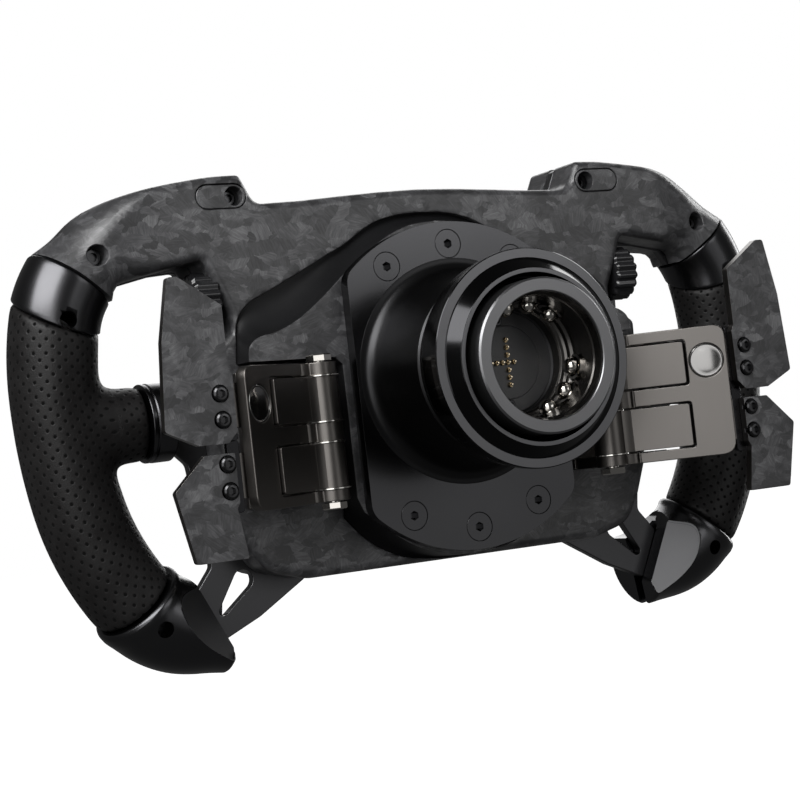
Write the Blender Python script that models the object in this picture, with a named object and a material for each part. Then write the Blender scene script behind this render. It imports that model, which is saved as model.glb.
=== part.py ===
"""Sim-racing wheel with a quick release, clutch paddles and shift paddles.

Frame: the origin is the centre of the quick-release mouth, on the steering axis. +X is the
driver's right, +Z is up and +Y points away from the driver, to the wheelbase. Lengths below
are in millimetres and become metres in mm().
"""
import math

import bmesh
import bpy
from mathutils import Matrix, Vector

GAP = 0.3                      # clearance between neighbouring pieces

# --- depths along Y -------------------------------------------------------------------
SHELL_REAR_Y = -75.0           # rear face of the carbon shell
PEDESTAL_Y = -64.6             # raised island that carries the flange
PLATE_Y = (-90.3, -94.3)       # aluminium frame plate
FRONT_SHELL_Y = (-94.6, -110.0)
GRIP_Y = -92.3                 # centre plane of the grips
FLANGE_Y = (-57.8, -64.3)

# --- the wheel in front view ----------------------------------------------------------
WHEEL_Z = -5.0                 # flange centre below the quick-release axis
ARCH_TOP_Z = 66.5
HORN_INNER_X = 62.6
HORN_TOP_Z = 74.0
HORN_SLOT = (66.4, 62.1, 84.0, 70.5)       # X, Z of the lower inner and upper outer corners
HORN_PLUG = (66.8, 62.5, 83.6, 70.1)
BODY_BOTTOM_Z = -65.0
BODY_HALF_WIDTH = 84.0
WAIST_HALF_WIDTH = 76.0
CORNER_RADIUS = 17.0

# --- grips ----------------------------------------------------------------------------
GRIP_RADIUS = 15.0
COLLAR_RADIUS = 15.3
CAP_RADIUS = 16.3
SPOKE_RADIUS = 13.0
SPOKE_Z = -6.6
SPOKE_END_X = 106.6
SPOKE_COLLAR_END_X = 97.5
FACET_TOOL_SIZE = 60.0
FACET_TOOL_DEPTH = 20.0
GRIP_PATH = [(119.5, 50.0), (126.5, 42.5), (131.5, 32.5), (134.3, 18.0), (134.8, 2.0),
             (133.2, -18.0), (129.3, -37.5), (122.5, -54.0), (113.4, -67.3), (102.5, -74.8),
             (88.0, -77.0)]
COLLAR_START = (126.2, 43.0)   # where the arm meets the upper collar
LEATHER_START = (132.2, 29.5)
LEATHER_END = (113.6, -67.0)

# --- hub and quick release ------------------------------------------------------------
FLANGE_RADIUS = 57.5
FLANGE_HALF_WIDTH = 40.0
SCREW_CIRCLE_RADIUS = 49.3
SCREW_ANGLES = (60.0, 90.0, 120.0, 240.0, 270.0, 300.0)
SCREW_HEAD_RADIUS = 5.0
SCREW_SHANK_RADIUS = 2.5
MOUTH_RADIUS = 21.4
MOUTH_OUTER_RADIUS = 25.3
SLEEVE_RADIUS = 19.6
BALL_RADIUS = 3.0
BALL_CIRCLE_RADIUS = 18.0
BALL_Y = -15.0
BALL_GROUPS = (100.0, 220.0, 340.0)
BALL_STEP = 28.0
RELEASE_COLLAR_RADIUS = 36.0

# --- paddles --------------------------------------------------------------------------
PIN_X = 55.2
PIN_Y = -55.3
PIN_Z = (-42.0, 9.6)
PIN_RADIUS = 2.4
KNUCKLE_RADIUS = 5.6
PLATE_TILT = math.radians(34.0)
BRACKET_Z = (-39.3, 6.9)
SHIFT_STRAP_Z = (-12.6, 2.2)
CLUTCH_STRAP_Z = (-34.9, -19.9)
WINDOW_END = 30.2              # outer end of the bracket windows, measured from the pin
BRACKET_LENGTH = 44.5
BRACKET_THICKNESS = 3.5
BRACKET_FOOT_X = (49.8, 79.0)
STRAP_GAP = 0.4                # clearance between the straps and the bracket
PIN_HEAD_RADIUS = 4.4
BLADE_Y = (-31.5, -34.5)
MAGNET_CENTRE = 37.2           # distance from the pin along the bracket plate
MAGNET_Z = -5.3
MAGNET_RADIUS = 6.0

# --- front face -----------------------------------------------------------------------
DISPLAY_SIZE = (104.0, 62.0)
DISPLAY_Z = 14.0
BUTTON_RADIUS = 5.6
BUTTON_PLACES = [(66.5, 28.0), (68.5, 8.0), (70.0, -12.0), (68.0, -32.0)]
DIAL_PLACES = [("centre", 0.0, -44.0), ("right", 40.0, -42.0), ("left", -40.0, -42.0)]
DIAL_RADIUS = 9.5
THUMB_CENTRE = (-83.0, 32.0)   # Y and Z of the thumb encoders
THUMB_X = (79.2, 88.4)
THUMB_RADIUS = 10.0


def mm(x, y, z):
    """A point in millimetres as a Blender vector in metres."""
    return Vector((x, y, z)) * 0.001


# --- outlines -------------------------------------------------------------------------
def arc(cx, cz, radius, start, end, steps):
    """Points on an arc, angles in degrees from +X towards +Z."""
    points = []
    for i in range(steps + 1):
        angle = math.radians(start + (end - start) * i / steps)
        points.append((cx + radius * math.cos(angle), cz + radius * math.sin(angle)))
    return points


def mirrored(half):
    """Closes a right-hand half outline, listed top to bottom, with its left-hand mirror."""
    left = [(-x, z) for x, z in reversed(half) if abs(x) > 1e-6]
    return half + left


def smooth_path(points, steps=8):
    """Catmull-Rom curve through 2-D points."""
    ends = [tuple(2 * a - b for a, b in zip(points[0], points[1]))]
    ends += points
    ends += [tuple(2 * a - b for a, b in zip(points[-1], points[-2]))]
    curve = []
    for i in range(1, len(ends) - 2):
        p0, p1, p2, p3 = (Vector(p) for p in ends[i - 1:i + 3])
        for k in range(steps):
            t = k / steps
            curve.append(0.5 * (2 * p1 + (p2 - p0) * t + (2 * p0 - 5 * p1 + 4 * p2 - p3) * t * t
                                + (3 * p1 - p0 - 3 * p2 + p3) * t ** 3))
    curve.append(Vector(points[-1]))
    return curve


def body_half():
    """Right half of the body below the arms: waist, flank and rounded bottom corner."""
    side = [(WAIST_HALF_WIDTH, 26.0), (WAIST_HALF_WIDTH, 21.5), (BODY_HALF_WIDTH + 1.5, 13.0),
            (BODY_HALF_WIDTH, -38.0)]
    side += arc(BODY_HALF_WIDTH - 4.0 - CORNER_RADIUS, BODY_BOTTOM_Z + CORNER_RADIUS, CORNER_RADIUS,
                0.0, -90.0, 6)
    return side


def arm_half():
    """Right half of the arch, the horn and the arm down to the grip collar."""
    top = [(0.0, ARCH_TOP_Z), (30.0, ARCH_TOP_Z - 0.9), (HORN_INNER_X, ARCH_TOP_Z - 2.3)]
    horn = [(HORN_INNER_X + 3.6, HORN_TOP_Z - 1.2), (HORN_INNER_X + 5.0, HORN_TOP_Z)]
    outer = [(80.0, HORN_TOP_Z - 0.2), (98.0, 71.8), (113.0, 68.6), (122.5, 64.0), (130.5, 57.6)]
    inner = [(110.5, 40.4), (100.0, 42.8), (WAIST_HALF_WIDTH + 8.0, 45.6)]
    return top + horn + outer + arm_end() + inner


def arm_end():
    """The two corners where an arm stops square to the grip path, just short of the collar."""
    path = grip_stations()
    point, way = path[nearest(path, COLLAR_START)]
    point = point - way * GAP
    side = Vector((-way.y, way.x)) * (COLLAR_RADIUS - 0.6)
    return [tuple(point + side), tuple(point - side)]


def shell_outline():
    return mirrored(arm_half() + body_half())


def plate_outline():
    """The frame plate: the shell outline with spoke tabs and the two lower struts."""
    spoke = [(89.0, 40.5), (88.0, 8.0), (101.0, SPOKE_Z + 6.0), (101.0, SPOKE_Z - 6.0), (92.5, -22.0)]
    strut = [(87.0, -58.0), (94.5, -67.0), (86.0, -83.0), (71.0, -76.0), (55.0, -66.5)]
    return mirrored(arm_half() + spoke + strut)


def flange_outline(radius, half_width, corner):
    """A round flange with two flat sides and small rounded corners."""
    limit = math.degrees(math.acos((half_width - corner) / (radius - corner)))
    half = arc(0.0, WHEEL_Z, radius, 90.0, limit + 2.0, 14)
    half += arc(half_width - corner, WHEEL_Z + (radius - corner) * math.sin(math.radians(limit)),
                corner, limit, 0.0, 3)
    lower = [(x, 2 * WHEEL_Z - z) for x, z in reversed(half)]
    return mirrored(half + lower)


# --- mesh building --------------------------------------------------------------------
def finish_mesh(name, bm, material, smooth=0.0):
    """Turns a bmesh into an object of the scene. Angles up to smooth degrees are shaded round."""
    bmesh.ops.recalc_face_normals(bm, faces=bm.faces)
    mesh = bpy.data.meshes.new(name)
    bm.to_mesh(mesh)
    bm.free()
    thing = bpy.data.objects.new(name, mesh)
    bpy.context.scene.collection.objects.link(thing)
    if material is not None:
        mesh.materials.append(material)
    if smooth:
        mesh.polygons.foreach_set("use_smooth", [True] * len(mesh.polygons))
        mesh.set_sharp_from_angle(angle=math.radians(smooth))
    return thing


def prism(name, outline, y0, y1, material=None):
    """Extrudes an XZ outline from depth y0 to depth y1."""
    bm = bmesh.new()
    face = bm.faces.new([bm.verts.new(mm(x, y0, z)) for x, z in outline])
    moved = bmesh.ops.extrude_face_region(bm, geom=[face])
    verts = [v for v in moved["geom"] if isinstance(v, bmesh.types.BMVert)]
    bmesh.ops.translate(bm, vec=mm(0.0, y1 - y0, 0.0), verts=verts)
    return finish_mesh(name, bm, material)


def slab(name, outline, z0, z1, material=None):
    """Extrudes an XY outline from height z0 to height z1."""
    bm = bmesh.new()
    face = bm.faces.new([bm.verts.new(mm(x, y, z0)) for x, y in outline])
    moved = bmesh.ops.extrude_face_region(bm, geom=[face])
    verts = [v for v in moved["geom"] if isinstance(v, bmesh.types.BMVert)]
    bmesh.ops.translate(bm, vec=mm(0.0, 0.0, z1 - z0), verts=verts)
    return finish_mesh(name, bm, material)


def block(name, low, high, material=None):
    """An axis-aligned box between two corners."""
    outline = [(low[0], low[1]), (high[0], low[1]), (high[0], high[1]), (low[0], high[1])]
    return slab(name, outline, low[2], high[2], material)


AXES = {"X": Matrix.Rotation(math.radians(90.0), 4, "Y"),
        "Y": Matrix.Rotation(math.radians(-90.0), 4, "X"),
        "Z": Matrix.Identity(4)}


def turned(name, profile, axis, centre, segments, material=None, smooth=40.0):
    """Spins a closed (radius, height) profile about an axis. Radius 0 lies on the axis."""
    bm = bmesh.new()
    place = Matrix.Translation(mm(*centre)) @ AXES[axis]
    rings = []
    for radius, height in profile:
        if radius == 0.0:
            rings.append([bm.verts.new(place @ mm(0.0, 0.0, height))])
            continue
        ring = []
        for i in range(segments):
            angle = 2 * math.pi * i / segments
            point = mm(radius * math.cos(angle), radius * math.sin(angle), height)
            ring.append(bm.verts.new(place @ point))
        rings.append(ring)
    for ring, after in zip(rings, rings[1:] + rings[:1]):
        if len(ring) == 1 and len(after) == 1:
            continue
        for i in range(segments):
            j = (i + 1) % segments
            corners = [ring[i % len(ring)], ring[j % len(ring)],
                       after[j % len(after)], after[i % len(after)]]
            bm.faces.new(list(dict.fromkeys(corners)))
    return finish_mesh(name, bm, material, smooth)


def rod(name, axis, centre, radius, h0, h1, segments=24, material=None):
    """A plain cylinder along an axis, from h0 to h1 beyond its centre point."""
    profile = [(0.0, h0), (radius, h0), (radius, h1), (0.0, h1)]
    return turned(name, profile, axis, centre, segments, material)


def with_tangents(points):
    """Pairs each point of a 2-D path with its direction there."""
    stations = []
    for i, point in enumerate(points):
        before, after = points[max(i - 1, 0)], points[min(i + 1, len(points) - 1)]
        stations.append((point, (after - before).normalized()))
    return stations


def sweep(name, stations, radius, segments, material=None):
    """A round bar through (point, tangent) stations in the grip plane."""
    bm = bmesh.new()
    rings = []
    for point, tangent in stations:
        side = Vector((tangent.y, -tangent.x))
        ring = []
        for k in range(segments):
            angle = 2 * math.pi * k / segments
            offset = side * (radius * math.cos(angle))
            depth = GRIP_Y + radius * math.sin(angle)
            ring.append(bm.verts.new(mm(point.x + offset.x, depth, point.y + offset.y)))
        rings.append(ring)
    for ring, after in zip(rings, rings[1:]):
        for k in range(segments):
            j = (k + 1) % segments
            bm.faces.new([ring[k], ring[j], after[j], after[k]])
    bm.faces.new(rings[0])
    bm.faces.new(list(reversed(rings[-1])))
    return finish_mesh(name, bm, material, 40.0)


def combine(target, tool, operation="DIFFERENCE"):
    """Adds an exact Boolean modifier and hides the tool, which isn't a part."""
    modifier = target.modifiers.new(operation.title(), "BOOLEAN")
    modifier.operation = operation
    modifier.solver = "EXACT"
    modifier.object = tool
    tool.hide_render = True
    tool.display_type = "WIRE"
    return target


def round_edges(thing, width, segments=2, angle=50.0):
    modifier = thing.modifiers.new("Bevel", "BEVEL")
    modifier.width = width * 0.001
    modifier.segments = segments
    modifier.limit_method = "ANGLE"
    modifier.angle_limit = math.radians(angle)
    modifier.use_clamp_overlap = True
    return thing


def set_origin(thing, x, y, z):
    """Moves an object's origin to a joint axis without moving its mesh."""
    point = mm(x, y, z)
    thing.data.transform(Matrix.Translation(-point))
    thing.location = point


def mirror_name(name, side):
    return name + ("_right" if side > 0 else "_left")


# --- materials ------------------------------------------------------------------------
def make_material(name, colour, roughness, metallic=0.0):
    material = bpy.data.materials.new(name)
    material.use_nodes = True
    shader = material.node_tree.nodes["Principled BSDF"]
    shader.inputs["Base Color"].default_value = (*colour, 1.0)
    shader.inputs["Roughness"].default_value = roughness
    shader.inputs["Metallic"].default_value = metallic
    material.diffuse_color = (*colour, 1.0)
    return material


def make_materials():
    return {
        "carbon": make_material("forged_carbon", (0.055, 0.055, 0.058), 0.38),
        "leather": make_material("black_leather", (0.018, 0.018, 0.019), 0.62),
        "gloss": make_material("gloss_black_anodised", (0.012, 0.012, 0.013), 0.16, 0.8),
        "gunmetal": make_material("gunmetal_anodised", (0.05, 0.05, 0.053), 0.28, 1.0),
        "titanium": make_material("titanium_anodised", (0.21, 0.195, 0.18), 0.3, 1.0),
        "aluminium": make_material("brushed_aluminium", (0.3, 0.3, 0.31), 0.3, 1.0),
        "steel": make_material("polished_steel", (0.55, 0.53, 0.5), 0.15, 1.0),
        "mouth": make_material("grey_anodised", (0.2, 0.2, 0.21), 0.42, 1.0),
        "screw": make_material("black_oxide_steel", (0.03, 0.03, 0.032), 0.35, 0.9),
        "board": make_material("circuit_board", (0.01, 0.07, 0.03), 0.5),
        "plastic": make_material("black_plastic", (0.02, 0.02, 0.021), 0.45),
        "glass": make_material("display_glass", (0.01, 0.012, 0.016), 0.06),
        "rubber": make_material("button_cap", (0.16, 0.16, 0.17), 0.5),
    }


# --- structure ------------------------------------------------------------------------
def screw_places():
    for angle in SCREW_ANGLES:
        turn = math.radians(angle)
        yield SCREW_CIRCLE_RADIUS * math.cos(turn), WHEEL_Z + SCREW_CIRCLE_RADIUS * math.sin(turn)


def thumb_relief(name, side):
    """Clearance for a thumb encoder: its stem and the scoop around its knob."""
    profile = [(0.0, 70.0), (4.3, 70.0), (4.3, 78.8), (10.5, 78.8), (10.5, 100.0), (0.0, 100.0)]
    profile = [(radius, side * x) for radius, x in profile]
    return turned(mirror_name(name, side), profile, "X", (0.0, *THUMB_CENTRE), 28)


def build_frame_plate(mats):
    plate = prism("frame_plate", plate_outline(), *PLATE_Y, mats["aluminium"])
    window = [(-52.0, -38.0), (52.0, -38.0), (52.0, 48.0), (-52.0, 48.0)]
    combine(plate, prism("cut_plate_window", window, PLATE_Y[0] + 1.0, PLATE_Y[1] - 1.0))
    teardrop = arc(76.0, -63.6, 3.4, 40.0, 220.0, 8) + arc(84.2, -73.2, 1.4, 220.0, 400.0, 4)
    for side in (1, -1):
        slot = [(side * x, z) for x, z in teardrop]
        combine(plate, prism(mirror_name("cut_strut_slot", side), slot, PLATE_Y[0] + 1.0, PLATE_Y[1] - 1.0))
        combine(plate, thumb_relief("cut_plate_thumb", side))
    return plate


def pedestal_outline():
    """The raised island behind the flange, with a lobe over each hinge."""
    lobe = [(0.0, 51.6), (14.0, 50.0), (25.0, 46.0), (37.5, 37.0), (48.0, 28.0), (56.0, 22.6),
            (66.0, 18.7), (72.0, 17.0), (75.4, 13.5), (75.4, 9.8), (44.5, 8.6)]
    skirt = [(44.5, -40.0)]
    for x, z in arc(0.0, WHEEL_Z, 58.6, -42.0, -90.0, 6):
        skirt.append((x, z))
    return mirrored(lobe + skirt)


def build_rear_shell(mats):
    shell = prism("rear_shell", shell_outline(), SHELL_REAR_Y, PLATE_Y[0] + GAP, mats["carbon"])
    round_edges(shell, 2.6, 1)
    combine(shell, prism("add_pedestal", pedestal_outline(), PEDESTAL_Y, SHELL_REAR_Y - 5.0), "UNION")
    cavity = [(-44.0, -40.0), (44.0, -40.0), (44.0, 40.0), (-44.0, 40.0)]
    combine(shell, prism("cut_shell_cavity", cavity, -71.0, PLATE_Y[0] - 5.0))
    for index, (x, z) in enumerate(screw_places()):
        hole = rod("cut_shell_screw_%d" % index, "Y", (x, 0.0, z), SCREW_SHANK_RADIUS + GAP, -79.0, -60.0, 12)
        combine(shell, hole)
    for side in (1, -1):
        hole = rod(mirror_name("cut_arm_screw", side), "Y", (side * 120.0, 0.0, 49.5), 3.6, -81.0, -70.0, 16)
        combine(shell, hole)
        slot = corners_outline(side, HORN_SLOT)
        combine(shell, prism(mirror_name("cut_horn_slot", side), slot, -70.0, -78.0))
        combine(shell, thumb_relief("cut_rear_thumb", side))
    return shell


def build_front_shell(mats):
    shell = prism("front_shell", shell_outline(), *FRONT_SHELL_Y, mats["plastic"])
    round_edges(shell, 2.6, 1)
    half_w, half_h = DISPLAY_SIZE[0] / 2, DISPLAY_SIZE[1] / 2
    cavity = [(-half_w, -38.0), (half_w, -38.0), (half_w, DISPLAY_Z + half_h), (-half_w, DISPLAY_Z + half_h)]
    combine(shell, prism("cut_front_cavity", cavity, -90.0, -104.0))
    window = rectangle(0.0, DISPLAY_Z, half_w - 4.0, half_h - 4.0)
    combine(shell, prism("cut_display_window", window, -100.0, -114.0))
    for side in (1, -1):
        for index, (x, z) in enumerate(BUTTON_PLACES):
            pocket = rod("cut_%s_%d" % (mirror_name("button", side), index), "Y", (side * x, 0.0, z),
                         BUTTON_RADIUS + GAP, -114.0, -102.0, 20)
            combine(shell, pocket)
        combine(shell, thumb_relief("cut_front_thumb", side))
    for name, x, z in DIAL_PLACES:
        combine(shell, rod("cut_dial_" + name, "Y", (x, 0.0, z), 3.3, -114.0, -105.5, 16))
    return shell


def rectangle(cx, cz, half_w, half_h):
    low_x, high_x, low_z, high_z = cx - half_w, cx + half_w, cz - half_h, cz + half_h
    return [(low_x, low_z), (high_x, low_z), (high_x, high_z), (low_x, high_z)]


def corners_outline(side, corners):
    """A rectangle between two XZ corners, mirrored for the left-hand side."""
    x0, z0, x1, z1 = corners
    return [(side * x0, z0), (side * x1, z0), (side * x1, z1), (side * x0, z1)]


# --- grips ----------------------------------------------------------------------------
def grip_stations(side=1):
    """Points and directions along the centre line of a grip, from the arm to the lower cap."""
    return with_tangents([Vector((side * p.x, p.y)) for p in smooth_path(GRIP_PATH, 5)])


def nearest(stations, place):
    target = Vector(place)
    return min(range(len(stations)), key=lambda i: (stations[i][0] - target).length)


def path_piece(stations, start, end, gap_start, gap_end):
    """The part of a path between two places, shortened by a gap at each end."""
    piece = stations[start:end + 1]
    (first, first_way), (last, last_way) = piece[0], piece[-1]
    piece[0] = (first + first_way * gap_start, first_way)
    piece[-1] = (last - last_way * gap_end, last_way)
    return piece


def build_grip_side(side, mats):
    path = grip_stations(side)
    marks = [nearest(path, (side * x, z)) for x, z in (COLLAR_START, LEATHER_START, LEATHER_END)]
    collar_path = path_piece(path, marks[0], marks[1], GAP / 2, GAP / 2)
    grip_path = path_piece(path, marks[1], marks[2], GAP / 2, GAP / 2)
    cap_path = path_piece(path, marks[2], len(path) - 1, GAP / 2, 0.0)
    sweep(mirror_name("upper_collar", side), collar_path, COLLAR_RADIUS, 24, mats["gunmetal"])
    grip = sweep(mirror_name("grip", side), grip_path, GRIP_RADIUS, 24, mats["leather"])
    low, high = sorted((side * SPOKE_END_X, side * 134.0))
    branch = rod(mirror_name("add_spoke_branch", side), "X", (0.0, GRIP_Y, SPOKE_Z), SPOKE_RADIUS, low, high, 24)
    combine(grip, branch, "UNION")

    low, high = sorted((side * SPOKE_COLLAR_END_X, side * (SPOKE_END_X - GAP)))
    spoke_collar = rod(mirror_name("spoke_collar", side), "X", (0.0, GRIP_Y, SPOKE_Z), SPOKE_RADIUS + 0.2,
                       low, high, 24, mats["gunmetal"])
    tab_low, tab_high = sorted((side * 90.0, side * 101.5))
    tab = block(mirror_name("cut_spoke_tab", side), (tab_low, PLATE_Y[1] - GAP, -17.5),
                (tab_high, PLATE_Y[0] + GAP, 5.0))
    combine(spoke_collar, tab)

    cap = sweep(mirror_name("lower_cap", side), cap_path, CAP_RADIUS, 24, mats["gunmetal"])
    strut_low, strut_high = sorted((side * 80.0, side * 95.5))
    strut = block(mirror_name("cut_cap_strut", side), (strut_low, PLATE_Y[1] - GAP, -100.0),
                  (strut_high, PLATE_Y[0] + GAP, -50.0))
    combine(cap, strut)
    hole = rod(mirror_name("cut_cap_screw", side), "Y", (side * 110.8, 0.0, -75.0), 2.8, -82.0, -70.0, 16)
    combine(cap, hole)
    combine(cap, facet_tool(side))


def facet_tool(side):
    """A tilted block that cuts the flat facet into the rear of a lower cap."""
    normal = Vector((-side * 0.366, 0.914, 0.175)).normalized()
    along = Vector((-side * 0.433, 0.0, -0.901))
    along = (along - normal * along.dot(normal)).normalized()
    across = normal.cross(along)
    middle = Vector((side * 89.6, -83.0, -75.2))
    bm = bmesh.new()
    bmesh.ops.create_cube(bm, size=1.0)
    for vert in bm.verts:
        corner = vert.co.copy()
        point = middle + (along * corner.x + across * corner.y) * FACET_TOOL_SIZE
        point += normal * ((corner.z + 0.5) * FACET_TOOL_DEPTH)
        vert.co = mm(*point)
    return finish_mesh(mirror_name("cut_cap_facet", side), bm, None)


# --- hub and quick release ------------------------------------------------------------
def build_hub(mats):
    flange = prism("hub_flange", flange_outline(FLANGE_RADIUS, FLANGE_HALF_WIDTH, 6.0), *FLANGE_Y, mats["gloss"])
    round_edges(flange, 0.8, 1)
    for index, (x, z) in enumerate(screw_places()):
        sink = turned("cut_flange_screw_%d" % index,
                      [(0.0, -66.0), (SCREW_SHANK_RADIUS + GAP, -66.0), (SCREW_SHANK_RADIUS + GAP, -61.4),
                       (SCREW_HEAD_RADIUS + GAP, -60.4), (SCREW_HEAD_RADIUS + GAP, -55.0), (0.0, -55.0)],
                      "Y", (x, 0.0, z), 18)
        combine(flange, sink)
        build_flange_screw(index, x, z, mats)

    body = [(0.0, -57.5), (37.5, -57.5), (34.4, -54.0), (32.2, -48.0), (30.8, -39.0), (30.2, -31.5),
            (25.0, -31.2), (25.0, -4.5), (MOUTH_OUTER_RADIUS, -4.2), (MOUTH_OUTER_RADIUS, -0.4),
            (24.9, 0.0), (MOUTH_RADIUS, 0.0), (MOUTH_RADIUS, -26.0), (17.0, -27.0), (15.0, -36.0),
            (0.0, -36.0)]
    turned("quick_release_body", body, "Y", (0.0, 0.0, 0.0), 40, mats["gloss"])

    collar = [(25.8, -5.0), (30.6, -5.0), (31.4, -6.2), (34.4, -6.8), (RELEASE_COLLAR_RADIUS, -8.8),
              (RELEASE_COLLAR_RADIUS, -11.0), (34.6, -13.0), (34.6, -21.0), (33.4, -24.0), (30.4, -24.0),
              (30.4, -12.0), (25.8, -12.0)]
    turned("quick_release_collar", collar, "Y", (0.0, 0.0, 0.0), 40, mats["gloss"])
    build_ball_ring(mats)
    build_spring(mats)

    contact = [(0.0, -35.7), (12.5, -35.7), (12.5, -25.0), (11.5, -24.0), (0.0, -24.0)]
    turned("contact_block", contact, "Y", (0.0, 0.0, 0.0), 32, mats["plastic"])


def build_flange_screw(index, x, z, mats):
    """A countersunk socket screw through the flange into the rear shell."""
    profile = [(0.0, -78.0), (SCREW_SHANK_RADIUS, -78.0), (SCREW_SHANK_RADIUS, -60.9),
               (SCREW_HEAD_RADIUS, -59.9), (SCREW_HEAD_RADIUS, -58.1), (2.6, -58.1), (2.6, -59.8), (0.0, -59.8)]
    turned("flange_screw_%d" % (index + 1), profile, "Y", (x, 0.0, z), 18, mats["screw"])


def build_ball_ring(mats):
    """The steel sleeve inside the mouth with its nine locking balls."""
    sleeve = [(SLEEVE_RADIUS, -24.0), (21.1, -24.0), (21.1, -5.0), (SLEEVE_RADIUS, -5.0)]
    ring = turned("locking_ball_ring", sleeve, "Y", (0.0, 0.0, 0.0), 40, mats["steel"])
    for group in BALL_GROUPS:
        for step in (-1, 0, 1):
            angle = math.radians(group + step * BALL_STEP)
            bm = bmesh.new()
            bmesh.ops.create_icosphere(bm, subdivisions=1, radius=BALL_RADIUS * 0.001)
            centre = mm(BALL_CIRCLE_RADIUS * math.cos(angle), BALL_Y, BALL_CIRCLE_RADIUS * math.sin(angle))
            bmesh.ops.translate(bm, vec=centre, verts=bm.verts)
            combine(ring, finish_mesh("add_ball_%d_%d" % (group, step + 1), bm, None), "UNION")
    return ring


def build_spring(mats):
    """The coil spring that returns the release collar."""
    turns, radius, wire, low, high = 4, 27.8, 0.9, -29.9, -19.4
    bm = bmesh.new()
    rings = []
    steps = turns * 16
    for i in range(steps + 1):
        angle = 2 * math.pi * turns * i / steps
        out = Vector((math.cos(angle), 0.0, math.sin(angle)))
        centre = out * radius + Vector((0.0, low + (high - low) * i / steps, 0.0))
        ring = []
        for k in range(6):
            turn = 2 * math.pi * k / 6
            ring.append(bm.verts.new((centre + out * (wire * math.cos(turn))
                                      + Vector((0.0, wire * math.sin(turn), 0.0))) * 0.001))
        rings.append(ring)
    for ring, after in zip(rings, rings[1:]):
        for k in range(6):
            j = (k + 1) % 6
            bm.faces.new([ring[k], ring[j], after[j], after[k]])
    bm.faces.new(rings[0])
    bm.faces.new(list(reversed(rings[-1])))
    finish_mesh("collar_spring", bm, mats["steel"], 60.0)


# --- paddles --------------------------------------------------------------------------
def on_bracket(side, along, out):
    """XY of a point given along the tilted bracket plate and out from its pin plane."""
    x = PIN_X + along * math.cos(PLATE_TILT) - out * math.sin(PLATE_TILT)
    y = PIN_Y + along * math.sin(PLATE_TILT) + out * math.cos(PLATE_TILT)
    return side * x, y


def pin_hole(name, side):
    return rod(name + "_pin_hole", "Z", (side * PIN_X, PIN_Y, 0.0), PIN_RADIUS + GAP, -60.0, 30.0, 14)


def build_bracket(side, mats):
    """The fixed hinge bracket: a tilted plate with two windows, three knuckles and three ribs."""
    name = mirror_name("hinge_bracket", side)
    rear, front = -0.6, -0.6 - BRACKET_THICKNESS
    section = ((1.0, rear), (BRACKET_LENGTH, rear), (BRACKET_LENGTH, front), (1.0, front))
    plate = [on_bracket(side, a, o) for a, o in section]
    bracket = slab(name, plate, *BRACKET_Z, mats["titanium"])
    for low, high in (SHIFT_STRAP_Z, CLUTCH_STRAP_Z):
        cut = ((-8.0, 6.0), (WINDOW_END, 6.0), (WINDOW_END, -8.0), (-8.0, -8.0))
        window = [on_bracket(side, a, o) for a, o in cut]
        combine(bracket, slab("%s_window_%d" % (name, -low), window, low - STRAP_GAP, high + STRAP_GAP))
    fingers = ((BRACKET_Z[0], CLUTCH_STRAP_Z[0] - STRAP_GAP),
               (CLUTCH_STRAP_Z[1] + STRAP_GAP, SHIFT_STRAP_Z[0] - STRAP_GAP),
               (SHIFT_STRAP_Z[1] + STRAP_GAP, BRACKET_Z[1]))
    base_y = SHELL_REAR_Y + GAP
    rib = [(side * BRACKET_FOOT_X[0], PIN_Y - 1.0), (side * BRACKET_FOOT_X[0], base_y), (side * 72.0, base_y),
           on_bracket(side, 22.0, front + 0.5), on_bracket(side, 3.0, front + 2.0)]
    for index, (low, high) in enumerate(fingers):
        knuckle = rod("%s_knuckle_%d" % (name, index), "Z", (side * PIN_X, PIN_Y, 0.0), KNUCKLE_RADIUS,
                      low, high, 18)
        combine(bracket, knuckle, "UNION")
        combine(bracket, slab("%s_rib_%d" % (name, index), rib, low, high), "UNION")
    foot_low, foot_high = sorted(side * x for x in BRACKET_FOOT_X)
    foot = block(name + "_foot", (foot_low, base_y, BRACKET_Z[0]), (foot_high, base_y + 3.5, BRACKET_Z[1]))
    combine(bracket, foot, "UNION")
    combine(bracket, pin_hole(name, side))
    seat_x, seat_y = on_bracket(side, MAGNET_CENTRE, rear)
    seat = turned(name + "_magnet_seat", [(0.0, -1.3), (MAGNET_RADIUS + GAP, -1.3), (MAGNET_RADIUS + GAP, 3.0),
                                          (0.0, 3.0)], "Y", (0.0, 0.0, 0.0), 28)
    tilt = Matrix.Rotation(side * PLATE_TILT, 4, "Z")
    seat.matrix_world = Matrix.Translation(mm(seat_x, seat_y, MAGNET_Z)) @ tilt
    combine(bracket, seat)

    magnet = turned(mirror_name("magnet", side), [(0.0, -1.0), (MAGNET_RADIUS, -1.0), (MAGNET_RADIUS, 0.1),
                                                  (0.0, 0.1)], "Y", (0.0, 0.0, 0.0), 28, mats["steel"])
    magnet.location = mm(seat_x, seat_y, MAGNET_Z)
    magnet.rotation_euler = (0.0, 0.0, side * PLATE_TILT)


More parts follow.
